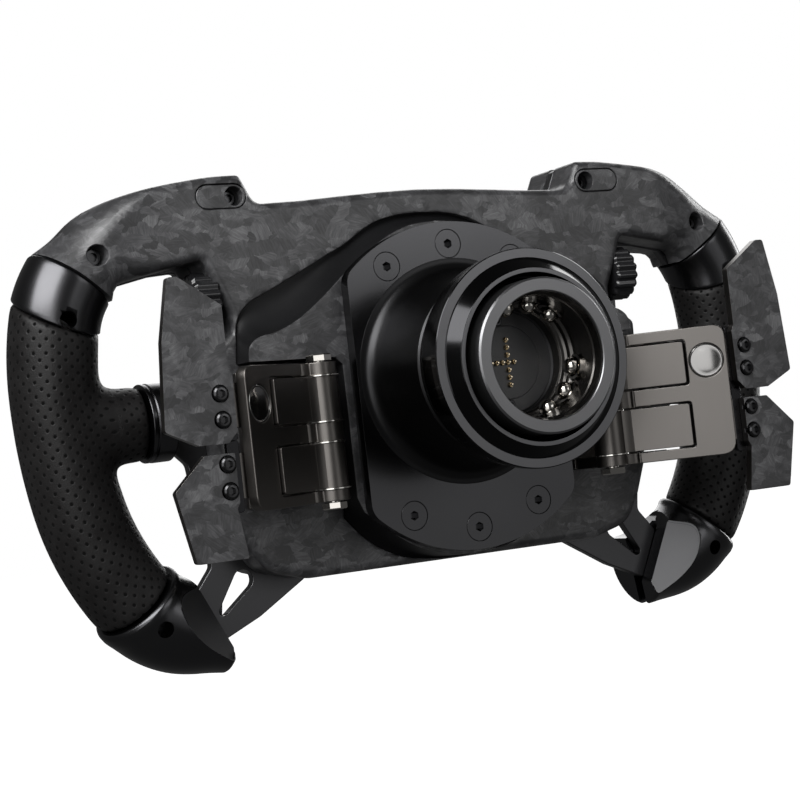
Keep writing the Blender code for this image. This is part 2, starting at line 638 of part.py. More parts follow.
def build_pin(side, mats):
    """The hinge pin with a round head at each end."""
    low, high = PIN_Z
    under, over = BRACKET_Z[0] - GAP, BRACKET_Z[1] + GAP
    profile = [(0.0, low), (PIN_HEAD_RADIUS, low), (PIN_HEAD_RADIUS, under), (PIN_RADIUS, under),
               (PIN_RADIUS, over), (PIN_HEAD_RADIUS, over), (PIN_HEAD_RADIUS, high), (0.0, high)]
    turned(mirror_name("hinge_pin", side), profile, "Z", (side * PIN_X, PIN_Y, 0.0), 14, mats["steel"])


def build_lever(name, side, heights, mats):
    """A wide strap on the pin. It passes through its window and under the plate to the blade."""
    tongue = [(93.7, BLADE_Y[1] - GAP), (107.0, BLADE_Y[1] - GAP), (107.0, -38.4), (95.4, -38.4)]
    strap_end = WINDOW_END - 0.7
    strap = [on_bracket(side, a, o) for a, o in ((2.0, 0.4), (strap_end, 0.4), (strap_end, -4.6))]
    strap += [(side * x, y) for x, y in tongue]
    strap += [on_bracket(side, a, o) for a, o in ((24.0, -8.2), (18.0, -3.8), (2.0, -3.8))]
    low, high = heights
    lever = slab(name, strap, low, high, mats["titanium"])
    knuckle = rod(name + "_knuckle", "Z", (side * PIN_X, PIN_Y, 0.0), KNUCKLE_RADIUS, low, high, 18)
    combine(lever, knuckle, "UNION")
    combine(lever, pin_hole(name, side))
    set_origin(lever, side * PIN_X, PIN_Y, 0.0)


def build_blade(name, side, outline, mats):
    """A carbon blade held by its lever."""
    points = [(side * x, z) for x, z in outline]
    blade = prism(name, points, *BLADE_Y, mats["carbon"])
    round_edges(blade, 0.5, 1, 60.0)
    set_origin(blade, side * PIN_X, PIN_Y, 0.0)


SHIFT_BLADE = ([(97.3, 26.0)] + arc(112.5, 34.2, 2.2, 120.0, 0.0, 4)
               + [(118.4, 16.0), (119.9, 2.0), (120.4, -11.6)] + [(109.6, -16.9), (99.8, -16.9), (96.6, -13.6)]
               + [(96.3, 4.0), (97.3, 6.2)])
CLUTCH_BLADE = [(98.6, -20.0), (108.2, -20.0), (119.0, -30.5), (114.2, -53.2), (96.9, -53.2), (99.2, -37.4)]


def build_paddles(side, mats):
    build_bracket(side, mats)
    build_pin(side, mats)
    build_lever(mirror_name("shift_lever", side), side, SHIFT_STRAP_Z, mats)
    build_lever(mirror_name("clutch_lever", side), side, CLUTCH_STRAP_Z, mats)
    build_blade(mirror_name("shift_blade", side), side, SHIFT_BLADE, mats)
    build_blade(mirror_name("clutch_blade", side), side, CLUTCH_BLADE, mats)


# --- controls -------------------------------------------------------------------------
def build_display(mats):
    half_w, half_h = DISPLAY_SIZE[0] / 2, DISPLAY_SIZE[1] / 2
    bezel = prism("display_bezel", rectangle(0.0, DISPLAY_Z, half_w, half_h), -110.3, -113.0, mats["plastic"])
    combine(bezel, prism("cut_bezel_window", rectangle(0.0, DISPLAY_Z, half_w - 4.0, half_h - 4.0), -108.0, -116.0))
    prism("display_glass", rectangle(0.0, DISPLAY_Z, half_w - 4.3, half_h - 4.3), -107.0, -111.5, mats["glass"])
    board = rectangle(0.0, 2.0, half_w - 3.0, 36.0)
    prism("circuit_board", board, -98.0, -99.6, mats["board"])


def build_button(name, x, z, mats):
    profile = [(0.0, -104.0), (BUTTON_RADIUS, -104.0), (BUTTON_RADIUS, -113.2), (BUTTON_RADIUS - 1.0, -114.2),
               (0.0, -114.2)]
    button = turned(name, profile, "Y", (x, 0.0, z), 20, mats["rubber"])
    set_origin(button, x, -114.2, z)


def build_dial(name, x, z, mats):
    """A rotary dial with a stem in the front shell."""
    profile = [(0.0, -106.0), (3.0, -106.0), (3.0, -110.4), (DIAL_RADIUS, -110.4), (DIAL_RADIUS, -119.0),
               (DIAL_RADIUS - 1.5, -120.5), (0.0, -120.5)]
    dial = turned(name, profile, "Y", (x, 0.0, z), 24, mats["plastic"])
    set_origin(dial, x, -110.4, z)


def build_thumb_encoder(side, mats):
    """A side-facing knob that the thumb reaches past the spoke."""
    start, end = THUMB_X
    profile = [(0.0, side * 74.0), (4.0, side * 74.0), (4.0, side * start), (THUMB_RADIUS, side * start),
               (THUMB_RADIUS, side * (end - 1.5)), (THUMB_RADIUS - 1.5, side * end), (0.0, side * end)]
    knob = turned(mirror_name("thumb_encoder", side), profile, "X", (0.0, *THUMB_CENTRE), 24, mats["plastic"])
    set_origin(knob, side * start, *THUMB_CENTRE)


def build_horn_plug(side, mats):
    """The plug that closes the slot in a horn."""
    outline = corners_outline(side, HORN_PLUG)
    prism(mirror_name("horn_plug", side), outline, -75.6, -77.6, mats["plastic"])


def build_controls(mats):
    build_display(mats)
    for side in (1, -1):
        for index, (x, z) in enumerate(BUTTON_PLACES):
            build_button("%s_%d" % (mirror_name("button", side), index + 1), side * x, z, mats)
        build_thumb_encoder(side, mats)
        build_horn_plug(side, mats)
    for name, x, z in DIAL_PLACES:
        build_dial("dial_" + name, x, z, mats)


def clear_scene():
    for thing in list(bpy.data.objects):
        bpy.data.objects.remove(thing, do_unlink=True)


def main():
    clear_scene()
    mats = make_materials()
    build_frame_plate(mats)
    build_rear_shell(mats)
    build_front_shell(mats)
    build_hub(mats)
    for side in (1, -1):
        build_grip_side(side, mats)
        build_paddles(side, mats)
    build_controls(mats)


main()
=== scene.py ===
"""Sim-racing wheel seen from behind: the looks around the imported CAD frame.

Lengths are in millimetres in the frame of the CAD model and become metres in mm().
"""
import math

import bmesh
import bpy
import numpy as np
from mathutils import Matrix, Vector
from mathutils.geometry import delaunay_2d_cdt


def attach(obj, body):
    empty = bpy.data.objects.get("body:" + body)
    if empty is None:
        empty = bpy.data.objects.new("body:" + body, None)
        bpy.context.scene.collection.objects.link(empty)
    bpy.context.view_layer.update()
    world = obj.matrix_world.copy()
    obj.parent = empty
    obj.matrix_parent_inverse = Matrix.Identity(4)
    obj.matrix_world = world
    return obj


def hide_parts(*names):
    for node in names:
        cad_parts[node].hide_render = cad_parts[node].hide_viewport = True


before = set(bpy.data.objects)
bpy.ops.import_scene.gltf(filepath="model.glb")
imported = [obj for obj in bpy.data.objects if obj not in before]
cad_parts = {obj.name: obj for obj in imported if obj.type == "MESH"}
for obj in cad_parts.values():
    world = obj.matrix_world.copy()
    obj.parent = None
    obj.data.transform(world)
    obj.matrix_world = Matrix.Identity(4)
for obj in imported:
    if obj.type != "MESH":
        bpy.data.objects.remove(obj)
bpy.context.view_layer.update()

SIDES = ((1, "right"), (-1, "left"))


def mm(x, y, z):
    """A point in millimetres as a vector in metres."""
    return Vector((x, y, z)) * 0.001


# --- material nodes -------------------------------------------------------------------
class Shader:
    """A small helper that wires a Principled material."""

    def __init__(self, name, colour, roughness, metallic=0.0, **sockets):
        self.material = bpy.data.materials.new(name)
        self.material.use_nodes = True
        self.tree = self.material.node_tree
        self.main = self.tree.nodes["Principled BSDF"]
        self.set(self.main, {"Base Color": (*colour, 1.0), "Roughness": roughness,
                             "Metallic": metallic})
        self.set(self.main, {key.replace("_", " "): value for key, value in sockets.items()})
        self.material.diffuse_color = (*colour, 1.0)
        self.height = None

    @staticmethod
    def set(node, values):
        for key, value in values.items():
            node.inputs[key].default_value = value

    def node(self, kind, settings=None, **inputs):
        node = self.tree.nodes.new(kind)
        for key, value in (settings or {}).items():
            setattr(node, key, value)
        for key, value in inputs.items():
            self.feed(node, key.replace("_", " "), value)
        return node

    def feed(self, node, socket, value):
        target = node.inputs[socket]
        if hasattr(value, "is_output"):
            self.tree.links.new(value, target)
        else:
            target.default_value = value

    def place(self, scale=(1.0, 1.0, 1.0), source="Object"):
        coordinates = self.node("ShaderNodeTexCoord")
        mapping = self.node("ShaderNodeMapping", Vector=coordinates.outputs[source], Scale=scale)
        return mapping.outputs["Vector"]

    def noise(self, vector, scale, detail=3.0, rough=0.5, distortion=0.0):
        node = self.node("ShaderNodeTexNoise", None, Vector=vector, Scale=scale, Detail=detail,
                         Roughness=rough, Distortion=distortion)
        return node.outputs["Fac"]

    def cells(self, vector, scale, feature="F1", output="Distance"):
        node = self.node("ShaderNodeTexVoronoi", {"feature": feature}, Vector=vector, Scale=scale)
        return node.outputs[output]

    def ramp(self, value, *stops):
        node = self.node("ShaderNodeValToRGB", None, Fac=value)
        ramp = node.color_ramp
        while len(ramp.elements) < len(stops):
            ramp.elements.new(0.5)
        for element, (position, colour) in zip(ramp.elements, stops):
            element.position = position
            element.color = (*colour, 1.0) if isinstance(colour, tuple) else (colour, colour,
                                                                              colour, 1.0)
        return node.outputs["Color"]

    def span(self, value, low, high, new_low, new_high):
        node = self.node("ShaderNodeMapRange", None, Value=value)
        for key, number in (("From Min", low), ("From Max", high), ("To Min", new_low),
                            ("To Max", new_high)):
            node.inputs[key].default_value = number
        return node.outputs["Result"]

    def maths(self, operation, a, b=0.0):
        node = self.node("ShaderNodeMath", {"operation": operation})
        self.feed(node, 0, a)
        self.feed(node, 1, b)
        return node.outputs["Value"]

    def mix(self, factor, a, b):
        node = self.node("ShaderNodeMix", {"data_type": "RGBA"})
        self.feed(node, 0, factor)
        self.feed(node, 6, a if hasattr(a, "is_output") else (*a, 1.0))
        self.feed(node, 7, b if hasattr(b, "is_output") else (*b, 1.0))
        return node.outputs[2]

    def bump(self, height, strength, distance):
        node = self.node("ShaderNodeBump", None, Height=height, Strength=strength,
                         Distance=distance)
        if self.height is not None:
            self.tree.links.new(self.height, node.inputs["Normal"])
        self.height = node.outputs["Normal"]
        self.tree.links.new(self.height, self.main.inputs["Normal"])

    def base(self, colour):
        self.tree.links.new(colour, self.main.inputs["Base Color"])

    def rough(self, value):
        self.tree.links.new(value, self.main.inputs["Roughness"])


def chip_layer(s, flow, bent, turn, stretch, scale):
    """Tone of one layer of chips: a flat shade for each chip, and strands along it."""
    way = s.node("ShaderNodeMapping", None, Vector=bent, Rotation=(0.0, turn, 0.0),
                 Scale=(1.0, 1.0, stretch))
    chips = s.node("ShaderNodeTexVoronoi", {"distance": "MANHATTAN"}, Vector=way.outputs["Vector"],
                   Scale=scale)
    parts = s.node("ShaderNodeSeparateColor", None, Color=chips.outputs["Color"])
    spin = s.node("ShaderNodeVectorRotate", {"rotation_type": "Y_AXIS"}, Vector=flow,
                  Angle=s.maths("MULTIPLY", parts.outputs["Green"], 6.28))
    fibre = s.node("ShaderNodeMapping", None, Vector=spin.outputs["Vector"], Scale=(1.0, 1.0, 8.0))
    strand = s.noise(fibre.outputs["Vector"], 210.0, 4.0, 0.7)
    return s.maths("ADD", s.maths("MULTIPLY", parts.outputs["Red"], 0.34),
                   s.maths("MULTIPLY", strand, 0.66))


def forged_carbon(name):
    """Chopped carbon chips, each with its own strand direction, under a satin lacquer."""
    s = Shader(name, (0.05, 0.05, 0.053), 0.36, 0.0, Coat_Weight=0.3, Coat_Roughness=0.28)
    flow = s.place()
    warp = s.node("ShaderNodeTexNoise", None, Vector=flow, Scale=320.0, Detail=4.0)
    bent = s.node("ShaderNodeVectorMath", {"operation": "MULTIPLY_ADD"})
    for socket, value in enumerate((warp.outputs["Color"], (0.0026, 0.0026, 0.0026), flow)):
        s.feed(bent, socket, value)
    blend = s.node("ShaderNodeMix", {"data_type": "FLOAT"})
    s.feed(blend, 0, s.span(s.noise(flow, 75.0, 3.0), 0.42, 0.58, 0.0, 1.0))
    s.feed(blend, 2, chip_layer(s, flow, bent.outputs[0], 0.5, 1.5, 135.0))
    s.feed(blend, 3, chip_layer(s, flow, bent.outputs[0], 2.0, 1.8, 190.0))
    chosen = blend.outputs[0]
    cloud = s.noise(flow, 34.0, 5.0, 0.65, 0.5)
    total = s.maths("ADD", s.maths("MULTIPLY", chosen, 0.68), s.maths("MULTIPLY", cloud, 0.32))
    s.base(s.ramp(total, (0.38, (0.016, 0.016, 0.017)), (0.5, (0.036, 0.036, 0.038)),
                  (0.58, (0.066, 0.066, 0.069)), (0.7, (0.13, 0.13, 0.133))))
    s.rough(s.span(total, 0.35, 0.7, 0.47, 0.33))
    s.bump(s.noise(flow, 900.0, 3.0, 0.6), 0.03, 0.0003)
    return s.material


def metal(name, colour, roughness, grain=0.04, scale=(1.0, 1.0, 1.0), spot=1500.0):
    """Anodised or polished metal with fine grain, faint smudges and worn variation."""
    s = Shader(name, colour, roughness, 1.0)
    flow = s.place(scale)
    fine = s.noise(flow, spot, 4.0, 0.6)
    smudge = s.noise(s.place(), 28.0, 3.0, 0.55)
    both = s.maths("ADD", s.maths("MULTIPLY", fine, 0.6), s.maths("MULTIPLY", smudge, 0.4))
    s.rough(s.span(both, 0.3, 0.7, max(roughness - grain / 2, 0.02), roughness + grain / 2))
    low = tuple(0.94 * c for c in colour)
    high = tuple(min(1.05 * c, 1.0) for c in colour)
    s.base(s.ramp(smudge, (0.25, low), (0.75, high)))
    s.bump(fine, 0.0006, 0.0001)
    return s.material


def leather(name):
    """Black leather with a diagonal grid of punched holes, painted near black inside as their
    shade.
    """
    s = Shader(name, (0.022, 0.022, 0.023), 0.5, 0.0, Specular_IOR_Level=0.2)
    parts = s.node("ShaderNodeSeparateXYZ", None, Vector=s.place(source="UV"))
    u, v = parts.outputs["X"], parts.outputs["Y"]

    def lattice(shift):
        du = s.maths("SUBTRACT", s.maths("FRACT", s.maths("ADD", u, shift)), 0.5)
        dv = s.maths("SUBTRACT", s.maths("FRACT", s.maths("ADD", v, shift)), 0.5)
        return s.maths("SQRT", s.maths("ADD", s.maths("MULTIPLY", du, du),
                                       s.maths("MULTIPLY", dv, dv)))

    near = s.maths("MINIMUM", lattice(0.0), lattice(0.5))
    hole = s.span(near, 0.115, 0.15, 1.0, 0.0)
    rim = s.span(near, 0.11, 0.2, 0.0, 1.0)
    flow = s.place()
    grain = s.cells(flow, 1500.0, "DISTANCE_TO_EDGE")
    folds = s.noise(flow, 120.0, 4.0, 0.6)
    skin = s.ramp(folds, (0.3, (0.0075, 0.007, 0.007)), (0.7, (0.012, 0.0115, 0.0115)))
    # painted shade: the holes have no depth, so their near-black colour stands in for the shade
    # inside them
    s.base(s.mix(hole, skin, (0.0003, 0.0003, 0.0003)))
    s.rough(s.maths("MAXIMUM", s.span(folds, 0.3, 0.7, 0.4, 0.5), hole))
    s.bump(s.span(grain, 0.0, 0.35, 0.0, 1.0), 0.15, 0.00015)
    s.bump(folds, 0.1, 0.0008)
    s.bump(rim, 0.3, 0.0003)
    return s.material


def plastic(name, colour, roughness, grain=900.0, strength=0.12, **sockets):
    s = Shader(name, colour, roughness, 0.0, **sockets)
    flow = s.place()
    fine = s.noise(flow, grain, 3.0, 0.6)
    smudge = s.noise(flow, 40.0, 3.0, 0.5)
    s.base(s.ramp(smudge, (0.3, tuple(0.85 * c for c in colour)),
                  (0.7, tuple(min(1.15 * c, 1.0) for c in colour))))
    s.rough(s.span(smudge, 0.3, 0.7, roughness - 0.04, roughness + 0.05))
    s.bump(fine, strength, 0.0003)
    return s.material


M = {
    # painted shade: the sloping channel wall of the pedestal is the same carbon, and this
    # near-black colour stands in for the shade on it
    "channel": plastic("channel_painted_shade", (0.007, 0.007, 0.0075), 0.42, 900.0, 0.03,
                       Specular_IOR_Level=0.2),
    "edge": metal("machined_blade_edge", (0.14, 0.132, 0.125), 0.3, 0.04),
    "carbon": forged_carbon("forged_carbon_fibre"),
    "leather": leather("perforated_black_leather"),
    "hub": metal("gloss_black_hub", (0.03, 0.03, 0.031), 0.34, 0.03, (1.0, 6.0, 1.0), 260.0),
    "flange": metal("gloss_black_flange", (0.07, 0.07, 0.073), 0.2, 0.03),
    "collar": metal("gloss_black_collar", (0.022, 0.022, 0.023), 0.13, 0.03),
    "mouth": metal("grey_satin_ring", (0.175, 0.175, 0.18), 0.34, 0.04),
    "blade": forged_carbon("forged_carbon_blade"),
    "ring": metal("grey_satin_collar_face", (0.125, 0.125, 0.13), 0.3, 0.04),
    "chrome_dark": metal("polished_magnet_face", (0.26, 0.255, 0.25), 0.16, 0.04),
    "chrome": metal("polished_steel_chrome", (0.5, 0.48, 0.45), 0.07, 0.02),
    "bore": metal("turned_steel_bore", (0.11, 0.105, 0.1), 0.26, 0.05, (1.0, 8.0, 1.0), 300.0),
    "titanium": metal("titanium_grey_hinge", (0.145, 0.136, 0.128), 0.34, 0.04),
    "dark_metal": metal("dark_anodised_edge", (0.03, 0.03, 0.032), 0.28, 0.04),
    "gunmetal": metal("gunmetal_grip_fitting", (0.062, 0.062, 0.065), 0.26, 0.02, spot=300.0),
    "facet": metal("gunmetal_facet", (0.15, 0.15, 0.154), 0.32, 0.04, (1.0, 1.0, 5.0), 700.0),
    "strut": metal("satin_frame_plate", (0.085, 0.085, 0.088), 0.34, 0.05),
    "washer": metal("bright_steel_washer", (0.8, 0.78, 0.74), 0.15, 0.04),
    "screw": metal("black_oxide_screw", (0.055, 0.055, 0.057), 0.2, 0.05),
    "gold": metal("pale_gold_contact_pin", (0.72, 0.62, 0.46), 0.18, 0.05),
    "plastic": plastic("black_moulded_plastic", (0.022, 0.022, 0.023), 0.4),
    "knob": plastic("gloss_black_knob", (0.012, 0.012, 0.013), 0.16, 300.0, 0.03),
    "socket": plastic("dark_contact_socket", (0.045, 0.045, 0.047), 0.36),
    "cap": plastic("grey_button_cap", (0.17, 0.17, 0.18), 0.42),
    "board": plastic("green_circuit_board", (0.012, 0.07, 0.03), 0.4),
    "glass": plastic("black_display_glass", (0.006, 0.007, 0.009), 0.05, 200.0, 0.005),
    "mark": plastic("white_index_mark", (0.75, 0.75, 0.74), 0.4),
}


# --- camera, floor and light ----------------------------------------------------------
def set_camera():
    azimuth, elevation, roll = math.radians(152.84), math.radians(-1.38), math.radians(-6.39)
    back = Vector((math.sin(azimuth) * math.cos(elevation),
                   -math.cos(azimuth) * math.cos(elevation), math.sin(elevation)))
    right = (-back).cross(Vector((0.0, 0.0, 1.0))).normalized()
    up = right.cross(-back)
    across = right * math.cos(roll) + up * math.sin(roll)
    upward = up * math.cos(roll) - right * math.sin(roll)
    camera = bpy.data.objects.new("camera", bpy.data.cameras.new("camera"))
    camera.data.sensor_width = 36.0
    camera.data.lens = 88.87
    turn = Matrix((across, upward, back)).transposed().to_4x4()
    place = (0.331775, 0.539534, -0.024229)
    camera.matrix_world = Matrix.Translation(place) @ turn
    bpy.context.scene.collection.objects.link(camera)
    bpy.context.scene.camera = camera


def area_light(name, place, target, size, power, length=None):
    """A white rectangular light that faces the target."""
    data = bpy.data.lights.new(name, "AREA")
    data.shape = "RECTANGLE"
    data.size = size
    data.size_y = length or size
    data.energy = power
    light = bpy.data.objects.new(name, data)
    light.location = place
    light.rotation_euler = (Vector(target) - Vector(place)).to_track_quat("-Z", "Y").to_euler()
    bpy.context.scene.collection.objects.link(light)


def set_stage():
    bm = bmesh.new()
    bmesh.ops.create_grid(bm, x_segments=1, y_segments=1, size=6.0)
    bmesh.ops.translate(bm, vec=(0.0, 0.0, -0.32), verts=bm.verts)
    mesh = bpy.data.meshes.new("floor")
    bm.to_mesh(mesh)
    bm.free()
    floor = bpy.data.objects.new("floor", mesh)
    bpy.context.scene.collection.objects.link(floor)
    s = Shader("white_studio_floor", (0.85, 0.85, 0.85), 0.7)
    s.rough(s.span(s.noise(s.place(), 3.0), 0.3, 0.7, 0.65, 0.75))
    s.main.inputs["Emission Color"].default_value = (1.0, 1.0, 1.0, 1.0)
    s.main.inputs["Emission Strength"].default_value = 1.0
    mesh.materials.append(s.material)
    floor.visible_diffuse = False
    floor.visible_glossy = False
    bpy.context.scene.view_settings.view_transform = "Standard"
    world = bpy.data.worlds.new("studio")
    bpy.context.scene.world = world
    world.use_nodes = True
    nodes, links = world.node_tree.nodes, world.node_tree.links
    room = nodes["Background"]
    room.inputs["Color"].default_value = (1.0, 1.0, 1.0, 1.0)
    room.inputs["Strength"].default_value = 0.1
    paper = nodes.new("ShaderNodeBackground")
    paper.inputs["Color"].default_value = (1.0, 1.0, 1.0, 1.0)
    seen = nodes.new("ShaderNodeLightPath")
    choice = nodes.new("ShaderNodeMixShader")
    links.new(seen.outputs["Is Camera Ray"], choice.inputs[0])
    links.new(room.outputs[0], choice.inputs[1])
    links.new(paper.outputs[0], choice.inputs[2])
    links.new(choice.outputs[0], nodes["World Output"].inputs["Surface"])
    area_light("top", (0.62, 0.35, 0.55), (0.05, -0.05, 0.0), 0.8, 11.0, length=0.5)
    area_light("camera_side", (0.8, 0.9, 0.15), (0.0, -0.05, 0.0), 0.9, 4.5)
    area_light("flange_glow", (-0.62, 1.13, 0.42), (0.0, -0.05, 0.0), 0.7, 1.7, length=0.5)
    area_light("flange_fill", (-0.62, 1.15, 0.0), (0.0, -0.05, 0.0), 0.7, 0.75, length=0.8)
    area_light("driver_side", (-0.6, -1.1, 0.55), (0.0, -0.1, 0.0), 1.0, 7.0)
    area_light("right_edge", (-1.1, -0.45, 0.3), (-0.1, -0.08, 0.0), 0.25, 5.0, length=1.2)


set_camera()
set_stage()

# --- shapes ---------------------------------------------------------------------------
def soften(points, radius, closed=True, steps=4):
    """Rounds the corners of a 2-D outline. A point may carry its own radius as a third number."""
    count = len(points)
    smooth = []
    for i, point in enumerate(points):
        here = Vector(point[:2])
        size = point[2] if len(point) > 2 else radius
        if (not closed and i in (0, count - 1)) or size <= 0.0:
            smooth.append(tuple(here))
            continue
        before, after = Vector(points[i - 1][:2]), Vector(points[(i + 1) % count][:2])
        back, on = (before - here), (after - here)
        turn = math.pi - back.angle(on, math.pi)
        if turn < 0.12:
            smooth.append(tuple(here))
            continue
        reach = min(size * math.tan(turn / 2), back.length * 0.49, on.length * 0.49)
        start, end = here + back.normalized() * reach, here + on.normalized() * reach
        for k in range(steps + 1):
            t = k / steps
            bend = start * (1 - t) ** 2 + here * (2 * t * (1 - t)) + end * t ** 2
            smooth.append(tuple(bend))
    return smooth


def curve_through(points, steps=8):
    """Catmull-Rom curve through 2-D or 3-D points."""
    points = [Vector(p) for p in points]
    ends = [2 * points[0] - points[1]] + points + [2 * points[-1] - points[-2]]
    curve = []
    for p0, p1, p2, p3 in zip(ends, ends[1:], ends[2:], ends[3:]):
        for k in range(steps):
            t = k / steps
            curve.append(0.5 * (2 * p1 + (p2 - p0) * t + (2 * p0 - 5 * p1 + 4 * p2 - p3) * t * t
                                + (3 * p1 - p0 - 3 * p2 + p3) * t ** 3))
    return curve + [points[-1]]


def arc(cx, cz, radius, start, end, steps=8):
    angles = (math.radians(start + (end - start) * i / steps) for i in range(steps + 1))
    return [(cx + radius * math.cos(a), cz + radius * math.sin(a)) for a in angles]


def mirrored(half):
    """Closes a right-hand half outline, listed top to bottom, with its mirror."""
    return half + [(-x, *rest) for x, *rest in reversed(half) if abs(x) > 1e-6]


def obround(x0, x1, cz, radius, steps=10):
    return arc(x1 - radius, cz, radius, 90, -90, steps) + arc(x0 + radius, cz, radius, 270, 90,
                                                              steps)


def box(x0, z0, x1, z1):
    return [(x0, z0), (x1, z0), (x1, z1), (x0, z1)]


def circle(count):
    """Angles of a full turn in equal steps."""
    return [2 * math.pi * k / count for k in range(count)]


def radial(angle):
    """Unit vector away from the axis of the wheel."""
    return Vector((math.cos(angle), 0.0, math.sin(angle)))


def ring_at(x, z, radius, y, count):
    return [(x + radius * math.cos(a), y, z + radius * math.sin(a)) for a in circle(count)]


def hexagon_at(x, z, reach, y, count):
    """A hexagon with the points of a circle. reach is half its width across the flats."""
    sixth = math.pi / 3
    radii = [reach / math.cos((a + sixth / 2) % sixth - sixth / 2) for a in circle(count)]
    return [(x + r * math.cos(a), y, z + r * math.sin(a)) for r, a in zip(radii, circle(count))]


AXES = {"X": Matrix.Rotation(math.radians(90.0), 3, "Y"),
        "Y": Matrix.Rotation(math.radians(-90.0), 3, "X"),
        "Z": Matrix.Identity(3)}


class Solid:
    """Collects closed shells into one mesh."""

    def __init__(self):
        self.bm = bmesh.new()

    def loft(self, rings, closed=False, caps=True, material=0):
        """Skins a list of rings of points in millimetres. One point makes a tip."""
        made = [[self.bm.verts.new(mm(*p)) for p in ring] for ring in rings]
        pairs = list(zip(made, made[1:] + made[:1])) if closed else list(zip(made, made[1:]))
        size = max(len(ring) for ring in made)
        for ring, after in pairs:
            if len(ring) == 1 and len(after) == 1:
                continue
            for i in range(size):
                j = (i + 1) % size
                corners = [ring[i % len(ring)], ring[j % len(ring)], after[j % len(after)],
                           after[i % len(after)]]
                face = self.bm.faces.new(list(dict.fromkeys(corners)))
                face.material_index = material
        if caps and not closed:
            for ring in (made[0], made[-1]):
                if len(ring) > 2:
                    self.bm.faces.new(ring).material_index = material

    def plane_prism(self, outline, origin, u, v, n, n0, n1, material=0):
        """Extrudes a 2-D outline in the plane of u and v along n."""
        origin, u, v, n = Vector(origin), Vector(u), Vector(v), Vector(n)
        rings = [[origin + u * a + v * b + n * depth for a, b in outline] for depth in (n0, n1)]
        self.loft(rings, material=material)

    def prism(self, outline, y0, y1, material=0):
        self.plane_prism(outline, (0, 0, 0), (1, 0, 0), (0, 0, 1), (0, 1, 0), y0, y1, material)

    def slab(self, outline, z0, z1, material=0):
        self.plane_prism(outline, (0, 0, 0), (1, 0, 0), (0, 1, 0), (0, 0, 1), z0, z1, material)

    def lathe(self, profile, axis, centre, segments=96, material=0, flutes=None):
        """Spins a (radius, height) profile about an axis. Radius 0 at both ends closes it."""
        place = AXES[axis]
        centre = Vector(centre)
        rings = []
        for radius, height in profile:
            if radius == 0.0:
                rings.append([centre + place @ Vector((0.0, 0.0, height))])
                continue
            ring = []
            for a in circle(segments):
                r = radius if flutes is None else flutes(radius, height, a)
                ring.append(centre + place @ Vector((r * math.cos(a), r * math.sin(a), height)))
            rings.append(ring)
        self.loft(rings, closed=profile[0][0] != 0.0, caps=False, material=material)

    def ball(self, centre, radius, material=0, rings=16, segments=24):
        profile = [(radius * math.sin(math.pi * i / rings), -radius * math.cos(math.pi * i / rings))
                   for i in range(rings + 1)]
        profile[0], profile[-1] = (0.0, -radius), (0.0, radius)
        self.lathe(profile, "Z", centre, segments, material)

    def tube(self, stations, segments, radii, lean, swell=lambda index: 0.0):
        """A bar through (point, tangent) stations in the grip plane. lean tilts its end cuts and
        swell adds to the radius of each ring."""
        rings = []
        for index, (point, tangent) in enumerate(stations):
            side = Vector((tangent.y, -tangent.x))
            r = radii[index] + swell(index)
            ring = []
            for a in circle(segments):
                slope = lean[index].x * math.cos(a) + lean[index].y * math.sin(a)
                spot = point + side * (r * math.cos(a)) + tangent * (slope * r)
                ring.append((spot.x, GRIP_Y + r * math.sin(a), spot.y))
            rings.append(ring)
        self.loft(rings)

    def linked(self, name):
        """An object of the scene with these shells."""
        bmesh.ops.recalc_face_normals(self.bm, faces=self.bm.faces)
        mesh = bpy.data.meshes.new(name)
        self.bm.to_mesh(mesh)
        self.bm.free()
        thing = bpy.data.objects.new(name, mesh)
        bpy.context.scene.collection.objects.link(thing)
        return thing

    def made(self, name, materials, smooth=35.0, bevel=0.0, segments=3, limit=38.0):
        thing = self.linked(name)
        for material in (materials if isinstance(materials, list) else [materials]):
            thing.data.materials.append(material)
        return polish(thing, smooth, bevel, segments, limit)


def polish(thing, smooth=35.0, bevel=0.0, segments=3, limit=38.0):
    """Rounds edges and shades an object smooth between them."""
    mesh = thing.data
    mesh.polygons.foreach_set("use_smooth", [True] * len(mesh.polygons))
    if bevel:
        edge = thing.modifiers.new("Bevel", "BEVEL")
        edge.width = bevel * 0.001
        edge.segments = segments
        edge.limit_method = "ANGLE"
        edge.angle_limit = math.radians(limit)
        edge.use_clamp_overlap = True
        edge.miter_outer = "MITER_ARC"
    else:
        mesh.set_sharp_from_angle(angle=math.radians(smooth))
    weigh = thing.modifiers.new("Weigh", "WEIGHTED_NORMAL")
    weigh.keep_sharp = True
    return thing


def carve(thing, *tools, operation="DIFFERENCE"):
    """Applies exact Booleans and removes the tools."""
    for tool in tools:
        cut = thing.modifiers.new("Cut", "BOOLEAN")
        cut.operation = operation
        cut.solver = "EXACT"
        cut.object = tool
    settle(thing)
    for tool in tools:
        bpy.data.objects.remove(tool, do_unlink=True)
    return thing


def settle(thing):
    """Replaces a mesh with its evaluated result and drops the modifiers."""
    graph = bpy.context.evaluated_depsgraph_get()
    mesh = bpy.data.meshes.new_from_object(thing.evaluated_get(graph))
    thing.modifiers.clear()
    old = thing.data
    thing.data = mesh
    bpy.data.meshes.remove(old)


def tool(build):
    """A cutting body that carve() uses up."""
    solid = Solid()
    build(solid)
    return solid.linked("tool")


def drill(radius, start, end, axis, centre, segments=32):
    """A round cutting body between two heights along an axis."""
    return tool(lambda s: s.lathe(box(0, start, radius, end), axis, centre, segments))


def stand_in(piece, body, slot, *nodes):
    """Attaches a piece to the body that it rides on and hides the CAD nodes that it stands for. The
    finish, slot, is not used.
    """
    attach(piece, body)
    if nodes:
        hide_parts(*nodes)
    return piece


